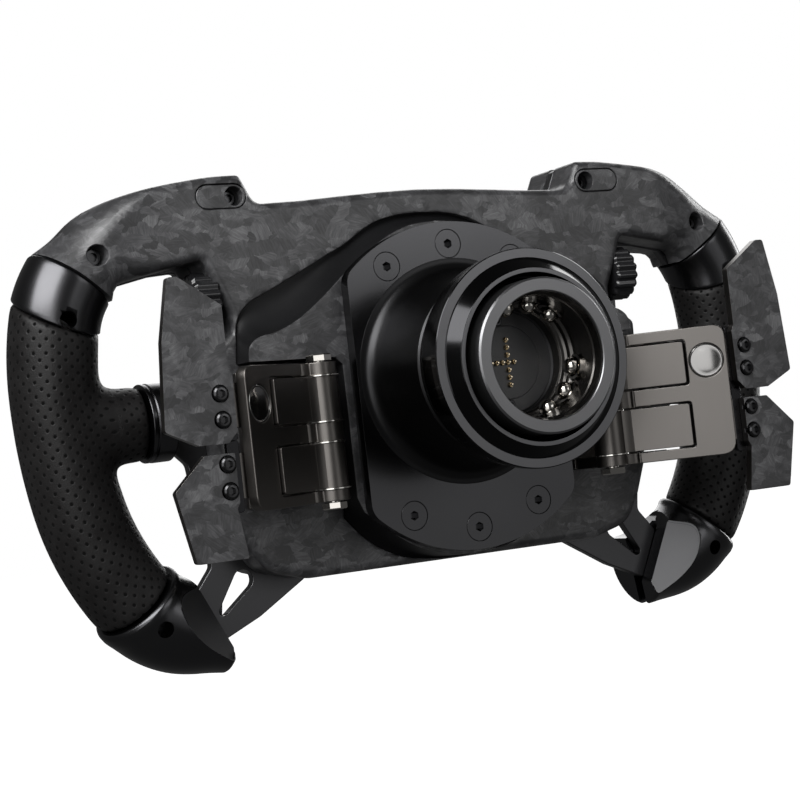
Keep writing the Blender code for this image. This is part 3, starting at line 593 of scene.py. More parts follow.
# --- dimensions shared with the CAD model ---------------------------------------------
REAR_Y, PEDESTAL_Y, FRONT_Y, GRIP_Y = -75.0, -64.6, -110.0, -92.3
PLATE_Y = (-90.3, -94.3)
WHEEL_Z = -5.0
COLLAR_RADIUS, GRIP_RADIUS, CAP_RADIUS = 15.3, 15.0, 16.3
SPOKE_Z, SPOKE_RADIUS = -6.6, 13.0
GRIP_PATH = [(119.5, 50.0), (126.5, 42.5), (131.5, 32.5), (134.3, 18.0), (134.8, 2.0),
             (133.2, -18.0), (129.3, -37.5), (122.5, -54.0), (113.4, -67.3), (102.5, -74.8),
             (88.0, -77.0)]
PIN_X, PIN_Y = 55.2, -55.3
TILT = math.radians(34.0)
BRACKET_Z = (-39.3, 6.9)
SHIFT_Z, CLUTCH_Z = (-12.6, 2.2), (-34.9, -19.9)
BLADE_Y = (-31.5, -34.5)
THUMB_AXIS = (0, -83.0, 32.0)
BLADE_SCREW_X = 101.0
BUTTONS = [(66.5, 28.0), (68.5, 8.0), (70.0, -12.0), (68.0, -32.0)]
DIALS = [("centre", 0.0, -44.0), ("right", 40.0, -42.0), ("left", -40.0, -42.0)]


def grip_stations(steps=10):
    points = curve_through(GRIP_PATH, steps)
    stations = []
    for i, point in enumerate(points):
        way = (points[min(i + 1, len(points) - 1)] - points[max(i - 1, 0)]).normalized()
        stations.append((point, way))
    return stations


def sided(stations, side):
    return [(Vector((side * p.x, p.y)), Vector((side * w.x, w.y))) for p, w in stations]


def nearest(stations, place):
    target = Vector(place)
    return min(range(len(stations)), key=lambda i: (stations[i][0] - target).length)


PATH = grip_stations()
ARM_MARK, LEATHER_TOP, LEATHER_END = (nearest(PATH, p) for p in ((126.2, 43.0), (131.9, 31.0),
                                                                 (115.4, -65.1)))


# --- carbon shells --------------------------------------------------------------------
def arm_end():
    point, way = PATH[ARM_MARK]
    across = Vector((-way.y, way.x)) * (COLLAR_RADIUS - 0.5)
    middle = point - way * 0.25
    return [tuple(middle + across), tuple(middle - across)]


def shell_outline():
    """The rounded outline of both shells and the two straight cuts at the collars."""
    outer_end, inner_end = arm_end()
    arch = [(0.0, 66.6), (15.0, 66.2), (30.0, 65.4), (46.0, 64.4), (62.6, 64.0, 5.0),
            (67.4, 74.1, 3.0)]
    outer = curve_through([(70.0, 74.15), (80.0, 73.7), (98.0, 71.3), (113.0, 68.1), (122.5, 63.6),
                           (130.5, 57.0), outer_end], 4)
    inner = curve_through([inner_end, (112.0, 39.9), (104.0, 42.0), (93.0, 44.2)], 3)
    flank = [(84.3, 45.8, 2.5), (76.2, 26.6, 3.0), (76.2, 21.0, 2.0), (85.6, 13.4, 3.0),
             (84.0, -38.0, 6.0), (79.0, -51.0, 14.0), (73.0, -61.0, 12.0), (58.0, -65.0, 14.0),
             (0.0, -65.0)]
    half = arch + [tuple(p) for p in outer] + [tuple(p) for p in inner] + flank
    outline = soften(mirrored(half), 1.0, True, 6)
    return [Vector(p) for p in outline]


def resampled(outline, step):
    """Splits long edges of a closed outline."""
    points = []
    for a, b in zip(outline, outline[1:] + outline[:1]):
        parts = max(1, int(round((b - a).length / step)))
        points += [a.lerp(b, k / parts) for k in range(parts)]
    return points


OUTLINE = resampled(shell_outline(), 1.6)


def is_collar_cut(a, b):
    """True for the outline edges that face the upper collars."""
    middle = (a + b) / 2
    line_a, line_b = (Vector(p) for p in arm_end())
    spot = Vector((abs(middle.x), middle.y))
    way = (line_b - line_a).normalized()
    along = (spot - line_a).dot(way)
    off = (spot - line_a - way * along).length
    return off < 0.4 and -0.3 < along < (line_b - line_a).length + 0.3


EDGES = [(a, b) for a, b in zip(OUTLINE, OUTLINE[1:] + OUTLINE[:1]) if not is_collar_cut(a, b)]
EDGE_A = np.array([tuple(a) for a, b in EDGES])
EDGE_B = np.array([tuple(b) for a, b in EDGES])


def edge_distance(points):
    """Distance of each point to the rounded part of the outline."""
    span = EDGE_B - EDGE_A
    length = (span ** 2).sum(1)
    best = np.full(len(points), 1e9)
    for start in range(0, len(points), 2000):
        chunk = points[start:start + 2000, None, :]
        t = np.clip(((chunk - EDGE_A) * span).sum(2) / length, 0.0, 1.0)
        gap = chunk - (EDGE_A + t[..., None] * span)
        best[start:start + 2000] = np.sqrt((gap ** 2).sum(2)).min(1)
    return best


def inside(points, loop):
    """Even-odd test of points against a closed loop."""
    loop = np.array([tuple(p) for p in loop])
    x, z = points[:, 0, None], points[:, 1, None]
    x0, z0 = loop[:, 0], loop[:, 1]
    x1, z1 = np.roll(x0, -1), np.roll(z0, -1)
    with np.errstate(divide="ignore", invalid="ignore"):
        crossing = ((z0 > z) != (z1 > z)) & (x < (x1 - x0) * (z - z0) / (z1 - z0) + x0)
    return crossing.sum(1) % 2 == 1


def arm_share(points):
    """0 on the body, 1 where an arm meets its collar."""
    t = np.clip((np.abs(points[:, 0]) - 98.0) / 27.0, 0.0, 1.0) * (points[:, 1] > 20.0)
    return t * t * (3.0 - 2.0 * t)


ARM_RADIUS = 14.6
GRID_STEP = 3.0


def shell_depth(points, body_radius):
    """Drop of the face below its plane: rounded edges that grow into round arms."""
    share = arm_share(points)
    radius = body_radius + (ARM_RADIUS - body_radius) * share
    gap = np.clip(edge_distance(points), 0.0, radius)
    return 2.1 * share + radius - np.sqrt(np.maximum(radius ** 2 - (radius - gap) ** 2, 0.0))


def shell(name, face_y, back_y, holes, body_radius):
    """A carbon shell: a rounded face with pits, and a skirt down to the frame plate."""
    sign = 1.0 if face_y > back_y else -1.0
    boundary = np.array([tuple(p) for p in OUTLINE])
    points = [tuple(p) for p in boundary]
    count = len(boundary)
    edges = [(i, (i + 1) % count) for i in range(count)]
    following = np.roll(boundary, -1, 0) - np.roll(boundary, 1, 0)
    following /= np.linalg.norm(following, axis=1)[:, None]
    inward = np.stack([following[:, 1], -following[:, 0]], 1)
    if inside(boundary + inward * 0.5, OUTLINE).mean() < 0.5:
        inward = -inward
    radius = body_radius + (ARM_RADIUS - body_radius) * arm_share(boundary)
    # points on the rounded edge, then a grid on the flat and a finer one on the arms
    extra = []
    for angle in (10.0, 21.0, 33.0, 46.0, 60.0, 75.0, 90.0):
        reach = radius * (1.0 - math.cos(math.radians(angle))) if angle < 90.0 else radius
        spots = boundary + inward * reach[:, None]
        good = inside(spots, OUTLINE) & (edge_distance(spots) > 0.9 * reach) & (reach > 0.02)
        extra.append(spots[good])
    low, high = boundary.min(0), boundary.max(0)
    xs, zs = np.meshgrid(np.arange(low[0], high[0], GRID_STEP),
                         np.arange(low[1], high[1], GRID_STEP))
    grid = np.stack([xs.ravel() + 1.1, zs.ravel() + 0.7], 1)
    grid = grid[inside(grid, OUTLINE)]
    grid = grid[edge_distance(grid) > body_radius + 0.8]
    extra.append(grid)
    fine = np.stack([xs.ravel() + 2.6, zs.ravel() + 2.2], 1)
    fine = fine[inside(fine, OUTLINE)]
    fine = fine[(arm_share(fine) > 0.02) & (edge_distance(fine) > 1.5)]
    extra.append(fine)
    extra = np.concatenate(extra)
    # each hole is a loop with a chamfer around it
    loops = []
    for loop, chamfer, depth in holes:
        loop = [Vector(p) for p in loop]
        normals = []
        for i, p in enumerate(loop):
            way = (loop[(i + 1) % len(loop)] - loop[i - 1]).normalized()
            normals.append(Vector((way.y, -way.x)))
        area = sum(a.x * b.y - b.x * a.y for a, b in zip(loop, loop[1:] + loop[:1]))
        grow = chamfer if area > 0 else -chamfer
        outer = [p + n * grow for p, n in zip(loop, normals)]
        extra = extra[~inside(extra, [p + n * (grow * 2.2) for p, n in zip(loop, normals)])]
        loops.append((loop, outer, chamfer, depth))
    extra = np.unique(np.round(extra, 3), axis=0)
    points += [tuple(p) for p in extra]
    marks = []
    for loop, outer, _, _ in loops:
        for ring in (outer, loop):
            first = len(points)
            points += [tuple(p) for p in ring]
            edges += [(first + i, first + (i + 1) % len(ring)) for i in range(len(ring))]
        marks.append(first)
    verts, _, faces, origin, _, _ = delaunay_2d_cdt([Vector(p) for p in points], edges, [], 1, 1e-5)
    flat = np.array([tuple(v) for v in verts])
    depth_of = shell_depth(flat, body_radius)
    source = {old: new for new, olds in enumerate(origin) for old in olds}
    middle = np.array([flat[list(face)].mean(0) for face in faces])
    keep = np.ones(len(faces), bool)
    for (loop, _, chamfer, _), first in zip(loops, marks):
        keep &= ~inside(middle, loop)
        for i in range(len(loop)):
            depth_of[source[first + i]] += chamfer
    solid = Solid()
    bm = solid.bm
    made = [bm.verts.new(mm(x, face_y - sign * d, z)) for (x, z), d in zip(flat, depth_of)]
    for face, wanted in zip(faces, keep):
        if wanted:
            bm.faces.new([made[i] for i in face])

    def wall(ids, y):
        """A straight wall from a ring of the face to a flat bottom at y."""
        ring = [made[i] for i in ids]
        after = [bm.verts.new(mm(flat[i][0], y, flat[i][1])) for i in ids]
        for i in range(len(ring)):
            j = (i + 1) % len(ring)
            bm.faces.new([ring[i], ring[j], after[j], after[i]])
        bm.faces.new(after)

    wall([source[i] for i in range(count)], back_y)
    for (loop, _, _, depth), first in zip(loops, marks):
        wall([source[first + i] for i in range(len(loop))], face_y - sign * depth)
    return solid.made(name, M["carbon"], smooth=50.0)


# the pedestal: top edge at PEDESTAL_Y and foot on the shell, from the top centre to the bottom
PEDESTAL_TOP = [[(0.0, 53.4), (10.0, 52.4), (18.9, 49.2), (30.4, 42.4), (37.4, 37.1), (44.4, 31.2),
                 (53.9, 24.2), (60.5, 20.6), (66.1, 18.7), (71.5, 17.6), (75.2, 14.6), (76.0, 9.8)],
                [(76.0, 9.7), (44.8, 8.9)], [(41.9, 6.2), (41.9, -39.5)],
                [(39.8, -44.6), (31.4, -51.8), (21.0, -58.6), (10.0, -62.4), (0.0, -63.6)]]
PEDESTAL_FOOT = [[(0.0, 57.9), (11.0, 57.2), (21.0, 54.3), (31.5, 48.0), (38.4, 44.8), (45.6, 41.2),
                  (55.0, 36.8), (62.4, 33.4), (69.0, 30.4), (73.4, 26.2), (75.1, 20.6),
                  (76.2, 9.8)], [(76.2, 9.6), (44.9, 8.7)], [(42.1, 6.0), (42.1, -39.6)],
                 [(43.0, -46.0), (34.6, -55.0), (23.0, -61.6), (11.0, -64.0), (0.0, -64.5)]]


HORN_SCREW, ARM_SCREW, HORN_SLOT_Z = (70.6, 66.7), (120.0, 49.5), 66.7


def joined(parts):
    return [tuple(p) for part in parts for p in curve_through(part, 5)]


def build_rear_shell():
    top, foot = mirrored(joined(PEDESTAL_TOP)), mirrored(joined(PEDESTAL_FOOT))
    holes = [(foot, 0.35, 4.0)]
    for side in (1, -1):
        slot = [(side * x, z) for x, z in obround(66.0, 84.6, HORN_SLOT_Z, 4.3)]
        holes.append((slot, 0.25, 7.0))
        holes.append(([(side * x, z) for x, z in arc(*ARM_SCREW, 3.5, 0, 345, 23)], 0.35, 9.0))
    rear = shell("carbon_rear_shell", REAR_Y, -90.0, holes, 3.0)
    stand_in(rear, "wheel", "forged_carbon", "rear_shell")
    rings = [[(x * share, PEDESTAL_Y - drop, z * share) for x, z in top] for share, drop in
             ((0.96, 0.0), (0.994, 0.0), (0.9978, 0.08), (0.9993, 0.22), (1.0, 0.45))]
    pairs = list(zip(top, foot))
    foot_y = REAR_Y - 2.3
    height = PEDESTAL_Y - 0.45 - foot_y
    for k in range(1, 11):
        phi = math.radians(9.0 * k)
        f = 0.72 * (1 - math.cos(phi)) + 0.28 * (k / 10)
        rings.append([(a[0] + (b[0] - a[0]) * f, PEDESTAL_Y - 0.45 - height * math.sin(phi),
                       a[1] + (b[1] - a[1]) * f) for a, b in pairs])
    rings.append([(x, -78.5, z) for x, z in foot])
    solid = Solid()
    solid.loft(rings)
    edge_y = (PEDESTAL_Y - 0.45) * 0.001
    # faces of the sloping wall below the pedestal's top edge take the near-black channel colour,
    # which is painted shade
    for face in solid.bm.faces:
        if face.calc_center_median().y < edge_y:
            face.material_index = 1
    pedestal = solid.made("carbon_pedestal", [M["carbon"], M["channel"]], smooth=30.0)
    stand_in(pedestal, "wheel", "forged_carbon")
    for side, word in SIDES:
        plug = Solid()
        plug.prism([(side * x, z) for x, z in obround(66.3, 84.3, HORN_SLOT_Z, 4.0)], REAR_Y - 0.15,
                   -79.6)
        hole = drill(3.3, -82, -70, "Y", (side * HORN_SCREW[0], 0, HORN_SCREW[1]))
        piece = carve(plug.made("horn_cover_" + word, M["carbon"]), hole)
        polish(piece, bevel=0.25, segments=2)
        stand_in(piece, "wheel", "forged_carbon", "horn_plug_" + word)
        for kind, (x, z), radius, drop in (("arm", ARM_SCREW, 2.9, 7.4),
                                           ("horn", HORN_SCREW, 2.7, 5.4)):
            depth = REAR_Y - drop
            head = Solid()
            head.lathe([(0, depth - 2.0), (radius, depth - 2.0), (radius, depth - 0.4),
                        (radius - 0.4, depth), (1.5, depth), (1.3, depth - 1.2), (0, depth - 1.2)],
                       "Y", (side * x, 0.0, z), 32)
            stand_in(head.made("%s_screw_%s" % (kind, word), M["screw"]), "wheel",
                     "black_oxide_steel")


def build_front_shell():
    holes = []
    window = soften(box(-47.5, -12.5, 47.5, 40.5), 3.0, True, 5)
    holes.append((window, 0.3, 3.0))
    for side in (1, -1):
        for x, z in BUTTONS:
            holes.append((arc(side * x, z, 5.9, 0, 350, 35), 0.4, 5.0))
    for _, x, z in DIALS:
        holes.append((arc(x, z, 3.4, 0, 345, 23), 0.3, 3.0))
    front = shell("carbon_front_shell", FRONT_Y, -94.6, holes, 3.2)
    stand_in(front, "wheel", "forged_carbon", "front_shell")


build_rear_shell()
build_front_shell()


# --- frame plate ----------------------------------------------------------------------
def build_frame_plate():
    outer_end, inner_end = arm_end()
    arch = [(0.0, 66.0), (30.0, 64.8), (46.0, 63.8), (62.2, 63.4, 5.0), (67.0, 73.4, 3.0)]
    outer = curve_through([(70.0, 73.4), (80.0, 73.0), (98.0, 70.6), (113.0, 67.3), (122.5, 62.8),
                           (129.6, 56.6)], 4)
    inner = [inner_end, (110.0, 40.2), (98.0, 42.8)]
    spoke = [(88.4, 43.5, 2.0), (87.5, 9.0, 4.0), (101.0, 6.0 + SPOKE_Z), (101.0, SPOKE_Z - 6.0),
             (91.8, -22.0, 4.0)]
    strut = [(87.2, -57.5, 3.0), (94.0, -66.0, 2.0), (86.0, -83.0), (71.2, -76.4, 8.0),
             (54.0, -66.0, 4.0), (50.0, -63.0, 2.0)]
    half = arch + [tuple(p) for p in outer] + [tuple(outer_end)] + inner + spoke + strut
    outline = soften(mirrored(half), 0.8, True, 5)
    plate = Solid()
    plate.prism(outline, *PLATE_Y)
    plate = plate.made("frame_plate_with_struts", M["strut"])
    teardrop = arc(76.2, -63.2, 3.6, 40, 225, 12) + arc(84.6, -72.9, 1.5, 225, 400, 8)
    tools = []
    for side in (1, -1):
        tools.append(tool(lambda s: s.prism([(side * x, z) for x, z in teardrop], -89.0, -96.0)))
        tools.append(drill(11.2, side * 70, side * 100, "X", THUMB_AXIS, 40))
    carve(plate, *tools)
    polish(plate, bevel=0.45, segments=3)
    stand_in(plate, "wheel", "brushed_aluminium", "frame_plate")


# --- flange, hub and quick release ----------------------------------------------------
SCREWS = [(49.3 * math.cos(math.radians(a)), WHEEL_Z + 49.3 * math.sin(math.radians(a)))
          for a in (60, 90, 120, 240, 270, 300)]


def flange_outline(radius, half_width, corner):
    limit = math.degrees(math.acos((half_width - corner) / (radius - corner)))
    half = arc(0.0, WHEEL_Z, radius, 90.0, limit + 1.0, 40)
    half += arc(half_width - corner, WHEEL_Z + (radius - corner) * math.sin(math.radians(limit)),
                corner, limit, 0.0, 8)
    return mirrored(half + [(x, 2 * WHEEL_Z - z) for x, z in reversed(half)])


def build_flange():
    plate = Solid()
    plate.prism(flange_outline(57.0, 40.2, 7.0), -57.8, -62.9)
    plate = plate.made("hub_flange_plate", M["flange"])
    carve(plate, *(drill(5.12, -60.8, -50, "Y", (x, 0, z), 48) for x, z in SCREWS))
    polish(plate, bevel=0.7, segments=4, limit=60)
    stand_in(plate, "wheel", "gloss_black_anodised", "hub_flange")
    neck = Solid()
    neck.prism(flange_outline(55.6, 38.8, 6.0), -62.8, -64.8)
    stand_in(neck.made("hub_flange_neck", M["dark_metal"]), "wheel", "gloss_black_anodised")
    for index, (x, z) in enumerate(SCREWS):
        rings = [ring_at(x, z, radius, y, 48) for radius, y in
                 ((2.5, -64.0), (2.5, -60.5), (4.9, -60.2), (4.96, -58.05), (4.82, -57.9))]
        rings += [hexagon_at(x, z, reach, y, 48) for reach, y in ((1.5, -57.9), (1.35, -58.1),
                                                                  (1.35, -60.5))]
        head = Solid()
        head.loft(rings)
        stand_in(head.made("flange_socket_screw_%d" % (index + 1), M["flange"], smooth=25.0),
                 "wheel", "black_oxide_steel", "flange_screw_%d" % (index + 1))


BALL_LEVEL, AXIAL = Vector((0.0, -15.0, 0.0)), Vector((0.0, 1.0, 0.0))


def build_quick_release():
    base = curve_through([(39.2, -57.7), (36.6, -57.0), (34.6, -54.6), (33.2, -50.0), (32.2, -44.0),
                          (31.5, -38.0), (31.0, -31.5)], 6)
    profile = [(0.0, -57.9), (39.3, -57.9)] + [tuple(p) for p in base]
    profile += soften([(31.0, -31.5), (30.4, -30.9), (25.1, -30.7), (25.1, -9.5), (21.45, -9.5),
                       (21.45, -25.9), (18.2, -26.4), (16.9, -27.1), (16.9, -30.0)], 0.3,
                      False)[1:] + [(0.0, -30.0)]
    hub = Solid()
    hub.lathe(profile, "Y", (0, 0, 0), 160)
    stand_in(hub.made("quick_release_hub", M["hub"], smooth=30.0), "wheel", "gloss_black_anodised",
             "quick_release_body")
    ring = Solid()
    ring.lathe(soften([(25.2, -9.6), (25.35, -0.5, 0.1), (24.7, 0.0, 0.15), (21.1, 0.0, 0.1),
                       (20.8, -0.35, 0.1), (20.8, -1.4), (21.4, -1.6), (21.4, -9.6)], 0.1), "Y",
               (0, 0, 0), 160)
    stand_in(ring.made("mouth_ring", M["mouth"], smooth=30.0), "wheel", "titanium_anodised")
    collar = Solid()
    collar.lathe(soften([(25.8, -23.9), (25.8, -11.0), (26.9, -10.6, 0.4), (27.2, -5.6),
                         (27.5, -5.2), (28.9, -5.2), (29.2, -5.5), (32.4, -9.0, 0.2),
                         (32.8, -9.2, 0.1), (35.7, -9.2, 0.1), (36.0, -9.5, 0.1),
                         (36.0, -12.6, 0.2), (35.7, -12.9, 0.1), (34.7, -13.1, 0.5), (34.7, -21.0),
                         (33.6, -23.9), (28.9, -23.9), (28.9, -17.2), (26.8, -17.2), (26.8, -23.9)],
                        0.22), "Y", (0, 0, 0), 160)
    for face in collar.bm.faces:
        spot = face.calc_center_median() * 1000.0
        face.normal_update()
        if abs(face.normal.y) > 0.98 and spot.y > -9.4:
            face.material_index = 1
    stand_in(collar.made("release_collar_turned", [M["collar"], M["ring"]], smooth=30.0),
             "release_collar", "gloss_black_anodised", "quick_release_collar")
    sleeve = Solid()
    sleeve.lathe(soften([(21.3, -25.8), (21.3, -1.6), (20.9, -1.3), (20.1, -4.2), (19.7, -4.8),
                         (19.7, -11.4), (20.7, -12.4, 0.8), (20.7, -17.6, 0.8), (19.7, -18.6),
                         (19.7, -20.4), (18.9, -20.9), (17.9, -21.2), (17.3, -21.9), (17.3, -25.8)],
                        0.22), "Y", (0, 0, 0), 160)
    for group in (100.0, 220.0, 340.0):
        for step in (-28.0, 0.0, 28.0):
            a = math.radians(group + step)
            sleeve.ball(radial(a) * 17.9 + BALL_LEVEL, 3.0, 1)
            out, across = radial(a), radial(a + math.pi / 2)
            cup = [[out * reach + BALL_LEVEL + (across * math.cos(b) + AXIAL * math.sin(b)) * r
                    for b in circle(32)] for r, reach in ((3.7, 20.4), (4.3, 19.8), (4.3, 18.6),
                                                          (3.4, 18.4), (3.4, 20.0))]
            sleeve.loft(cup, closed=True, material=1)
    stand_in(sleeve.made("ball_lock_sleeve", [M["bore"], M["chrome"]], smooth=32.0), "wheel",
             "polished_steel", "locking_ball_ring")
    contact = Solid()
    contact.lathe(soften([(0, -30.0), (16.8, -30.0), (16.8, -26.6), (12.4, -26.6), (12.4, -26.9),
                          (12.1, -26.9), (12.1, -26.4), (0, -26.4)], 0.12, False), "Y", (0, 0, 0),
                  96)
    for x0, x1, z0, z1 in ((1.9, 7.6, -9.0, -2.2), (1.9, 7.6, 2.2, 9.0)):
        contact.prism(soften(box(x0, z0, x1, z1), 0.6), -26.6, -26.1)
    pins = [(0.0, 2.5 * k) for k in range(-3, 4)] + [(x, 0.0) for x in (-2.2, 2.2, 4.4, 6.6)]
    for x, z in pins:
        contact.lathe([(0, -27.0), (0.95, -27.0), (0.95, -25.8), (0.8, -25.6), (0.5, -25.7),
                       (0.5, -24.9), (0.3, -24.6), (0, -24.55)], "Y", (x, 0, z), 20, 1)
    for x, z in ((2.4, 13.9), (0.8, -14.1), (13.9, 0.5)):
        contact.lathe([(0, -27.0), (1.7, -27.0), (1.7, -25.9), (1.4, -25.6), (0.8, -25.6),
                       (0.7, -26.3), (0, -26.3)], "Y", (x, 0, z), 24, 2)
    stand_in(contact.made("contact_plate_with_pins", [M["socket"], M["gold"], M["screw"]],
                          smooth=32.0), "wheel", "black_plastic", "contact_block")
    coil = Solid()
    turns, steps, low, high = 4, 40, -29.6, -24.9
    rings = []
    for i in range(turns * steps + 1):
        out = radial(2 * math.pi * i / steps)
        middle = out * 27.8 + AXIAL * (low + (high - low) * i / (turns * steps))
        rings.append([middle + (out * math.cos(b) + AXIAL * math.sin(b)) * 0.55
                      for b in circle(10)])
    coil.loft(rings)
    stand_in(coil.made("return_spring", M["chrome"], smooth=60.0), "wheel", "polished_steel",
             "collar_spring")


# --- paddles --------------------------------------------------------------------------
class Hinge:
    """Directions of one tilted hinge plate."""

    def __init__(self, side):
        self.side = side
        self.pin = Vector((side * PIN_X, PIN_Y, 0.0))
        self.u = Vector((side * math.cos(TILT), math.sin(TILT), 0.0))
        self.n = Vector((-side * math.sin(TILT), math.cos(TILT), 0.0))
        self.v = Vector((0.0, 0.0, 1.0))

    def at(self, along, out, z=0.0):
        return self.pin + self.u * along + self.n * out + self.v * z

    def xy(self, along, out):
        p = self.at(along, out)
        return p.x, p.y

    def face(self, solid, outline, n0, n1, material=0):
        return solid.plane_prism(outline, self.pin, self.u, self.v, self.n, n0, n1, material)

    def barrel(self, start, end, radius=5.6, steps=12):
        """Arc of the knuckle in XY, angles from the plate direction towards its outer face."""
        return [self.xy(radius * math.cos(a), radius * math.sin(a)) for a in
                (math.radians(start + (end - start) * k / steps) for k in range(steps + 1))]


MAGNET = (37.2, -5.3)


def build_bracket(side, word):
    h = Hinge(side)
    low, high = BRACKET_Z
    bracket = Solid()
    left, gap = 10.4, 0.7
    comb = [(left, high), (44.5, high, 4.2), (44.5, low, 5.2), (left, low),
            (left, CLUTCH_Z[0] - gap)]
    for z0, z1 in (CLUTCH_Z, SHIFT_Z):
        comb += [(30.4, z0 - gap, 1.2), (30.4, z1 + gap, 1.2), (left, z1 + gap)]
        if z0 == CLUTCH_Z[0]:
            comb += [(left, SHIFT_Z[0] - gap)]
    h.face(bracket, soften(comb, 0.0, True, 5), -0.6, -4.1)
    play = 0.45
    fingers = ((low, CLUTCH_Z[0] - play), (CLUTCH_Z[1] + play, SHIFT_Z[0] - play),
               (SHIFT_Z[1] + play, high))
    base = REAR_Y + 0.2
    for z0, z1 in fingers:
        section = [h.xy(15.8, -0.6), h.xy(13.6, -0.75), h.xy(12.4, -1.5), h.xy(11.2, -2.1),
                   h.xy(9.8, -2.0), h.xy(8.6, -1.1), h.xy(7.6, -0.75), h.xy(6.2, -0.6)]
        section += h.barrel(-4.0, 235.0, steps=20)
        section += [(side * 50.2, base), (side * 72.0, base), h.xy(20.0, -4.0), h.xy(15.8, -4.0)]
        bracket.slab(section, z0, z1)
    foot = [(side * 50.2, base - 0.1), (side * 50.2, base + 2.6), (side * 78.4, base + 2.6),
            (side * 78.4, base - 0.1)]
    bracket.slab(foot, low + 0.2, high - 0.2)
    bracket = bracket.made("hinge_bracket_milled_" + word, [M["titanium"]])
    seat = tool(lambda s: s.plane_prism(arc(*MAGNET, 6.15, 0, 350, 35), h.pin, h.u, h.v, h.n, -1.9,
                                        4.0))
    carve(bracket, seat)
    polish(bracket, bevel=0.28, segments=3, limit=30)
    stand_in(bracket, "wheel", "titanium_anodised", "hinge_bracket_" + word)
    magnet = Solid()
    profile = ((6.0, -1.9), (6.0, -0.95), (5.75, -0.8), (5.5, -1.0), (5.2, -1.05), (4.2, -0.9),
               (3.0, -0.76), (1.5, -0.66), (0.4, -0.63))
    rings = [[h.at(MAGNET[0] + radius * math.cos(a), out, MAGNET[1] + radius * math.sin(a))
              for a in circle(64)] for radius, out in profile]
    magnet.loft(rings)
    stand_in(magnet.made("magnet_disc_" + word, M["chrome_dark"], smooth=25.0), "wheel",
             "polished_steel", "magnet_" + word)


def build_pin(side, word):
    pin = Solid()
    centre = (side * PIN_X, PIN_Y, 0.0)
    step = 2 * math.pi / 8

    def facet(radius, height, angle):
        if radius < 3.5:
            return radius
        return radius * math.cos(step / 2) / math.cos((angle % step) - step / 2)

    pin.lathe(soften([(0, -42.0), (4.1, -42.0), (4.5, -41.6), (4.5, -39.8), (2.4, -39.6),
                      (2.4, 7.2), (4.5, 7.4), (4.5, 9.2), (4.1, 9.6), (0, 9.6)], 0.0, False), "Z",
              centre, 96, 0, facet)
    for z in (SHIFT_Z[1] + 0.22, SHIFT_Z[0] - 0.22, CLUTCH_Z[1] + 0.22, CLUTCH_Z[0] - 0.22):
        pin.lathe(box(3.0, z - 0.2, 6.5, z + 0.2), "Z", centre, 64, 1)
    stand_in(pin.made("faceted_hinge_pin_" + word, [M["chrome"], M["washer"]], smooth=25.0),
             "wheel", "polished_steel", "hinge_pin_" + word)


def build_lever(kind, side, word, heights):
    """A wide strap around the pin, with a tongue below the plate that carries the blade."""
    h = Hinge(side)
    low, high = heights
    lever = Solid()
    h.face(lever, soften([(4.5, low), (29.5, low, 0.8), (29.5, high, 0.8), (4.5, high)], 0.0), 0.35,
           -3.8)
    lever.slab(h.barrel(0.0, 342.0, steps=36), low, high)
    neck = [h.xy(5.4, -0.8), h.xy(5.0, 1.9), h.xy(6.6, 0.8), h.xy(8.8, 0.35), h.xy(8.8, -1.5)]
    lever.slab(neck, low, high)
    under = [h.xy(29.4, -3.7), h.xy(24.0, -3.7), h.xy(24.0, -8.0), h.xy(28.0, -8.0),
             (side * 92.4, -38.2), (side * 107.0, -38.2), (side * 107.0, BLADE_Y[1] - 0.15),
             (side * 94.6, BLADE_Y[1] - 0.15), (side * 91.5, -36.2), h.xy(36.0, -4.6),
             h.xy(30.5, -4.6)]
    lever.slab(under, low + 0.3, high - 0.3)
    strip = soften(box(95.4, high + 4.0, 99.5, low - 4.0), 1.5)
    lever.prism([(side * x, z) for x, z in strip], BLADE_Y[1] - 0.1, BLADE_Y[1] - 2.3, 1)
    piece = lever.made("%s_strap_%s" % (kind, word), [M["titanium"], M["dark_metal"]], bevel=0.2,
                       limit=30)
    stand_in(piece, "%s_paddle_%s" % (kind, word), "titanium_anodised",
             "%s_lever_%s" % (kind, word))


SHIFT_BLADE = [(97.3, 26.2, 0.6), (111.2, 36.0, 1.2), (114.4, 36.0, 1.2), (118.4, 16.0, 4.0),
               (120.4, -11.6, 1.4), (109.6, -16.9, 0.8), (99.8, -16.9, 0.8), (96.6, -13.6, 0.8),
               (96.3, 4.0, 0.6), (97.4, 6.4, 0.6)]
CLUTCH_BLADE = [(98.2, -20.0, 0.6), (108.4, -20.0, 1.0), (119.2, -30.5, 1.2), (114.4, -53.2, 1.2),
                (97.0, -53.2, 0.8), (99.3, -37.4, 0.8), (98.2, -35.6, 0.8)]


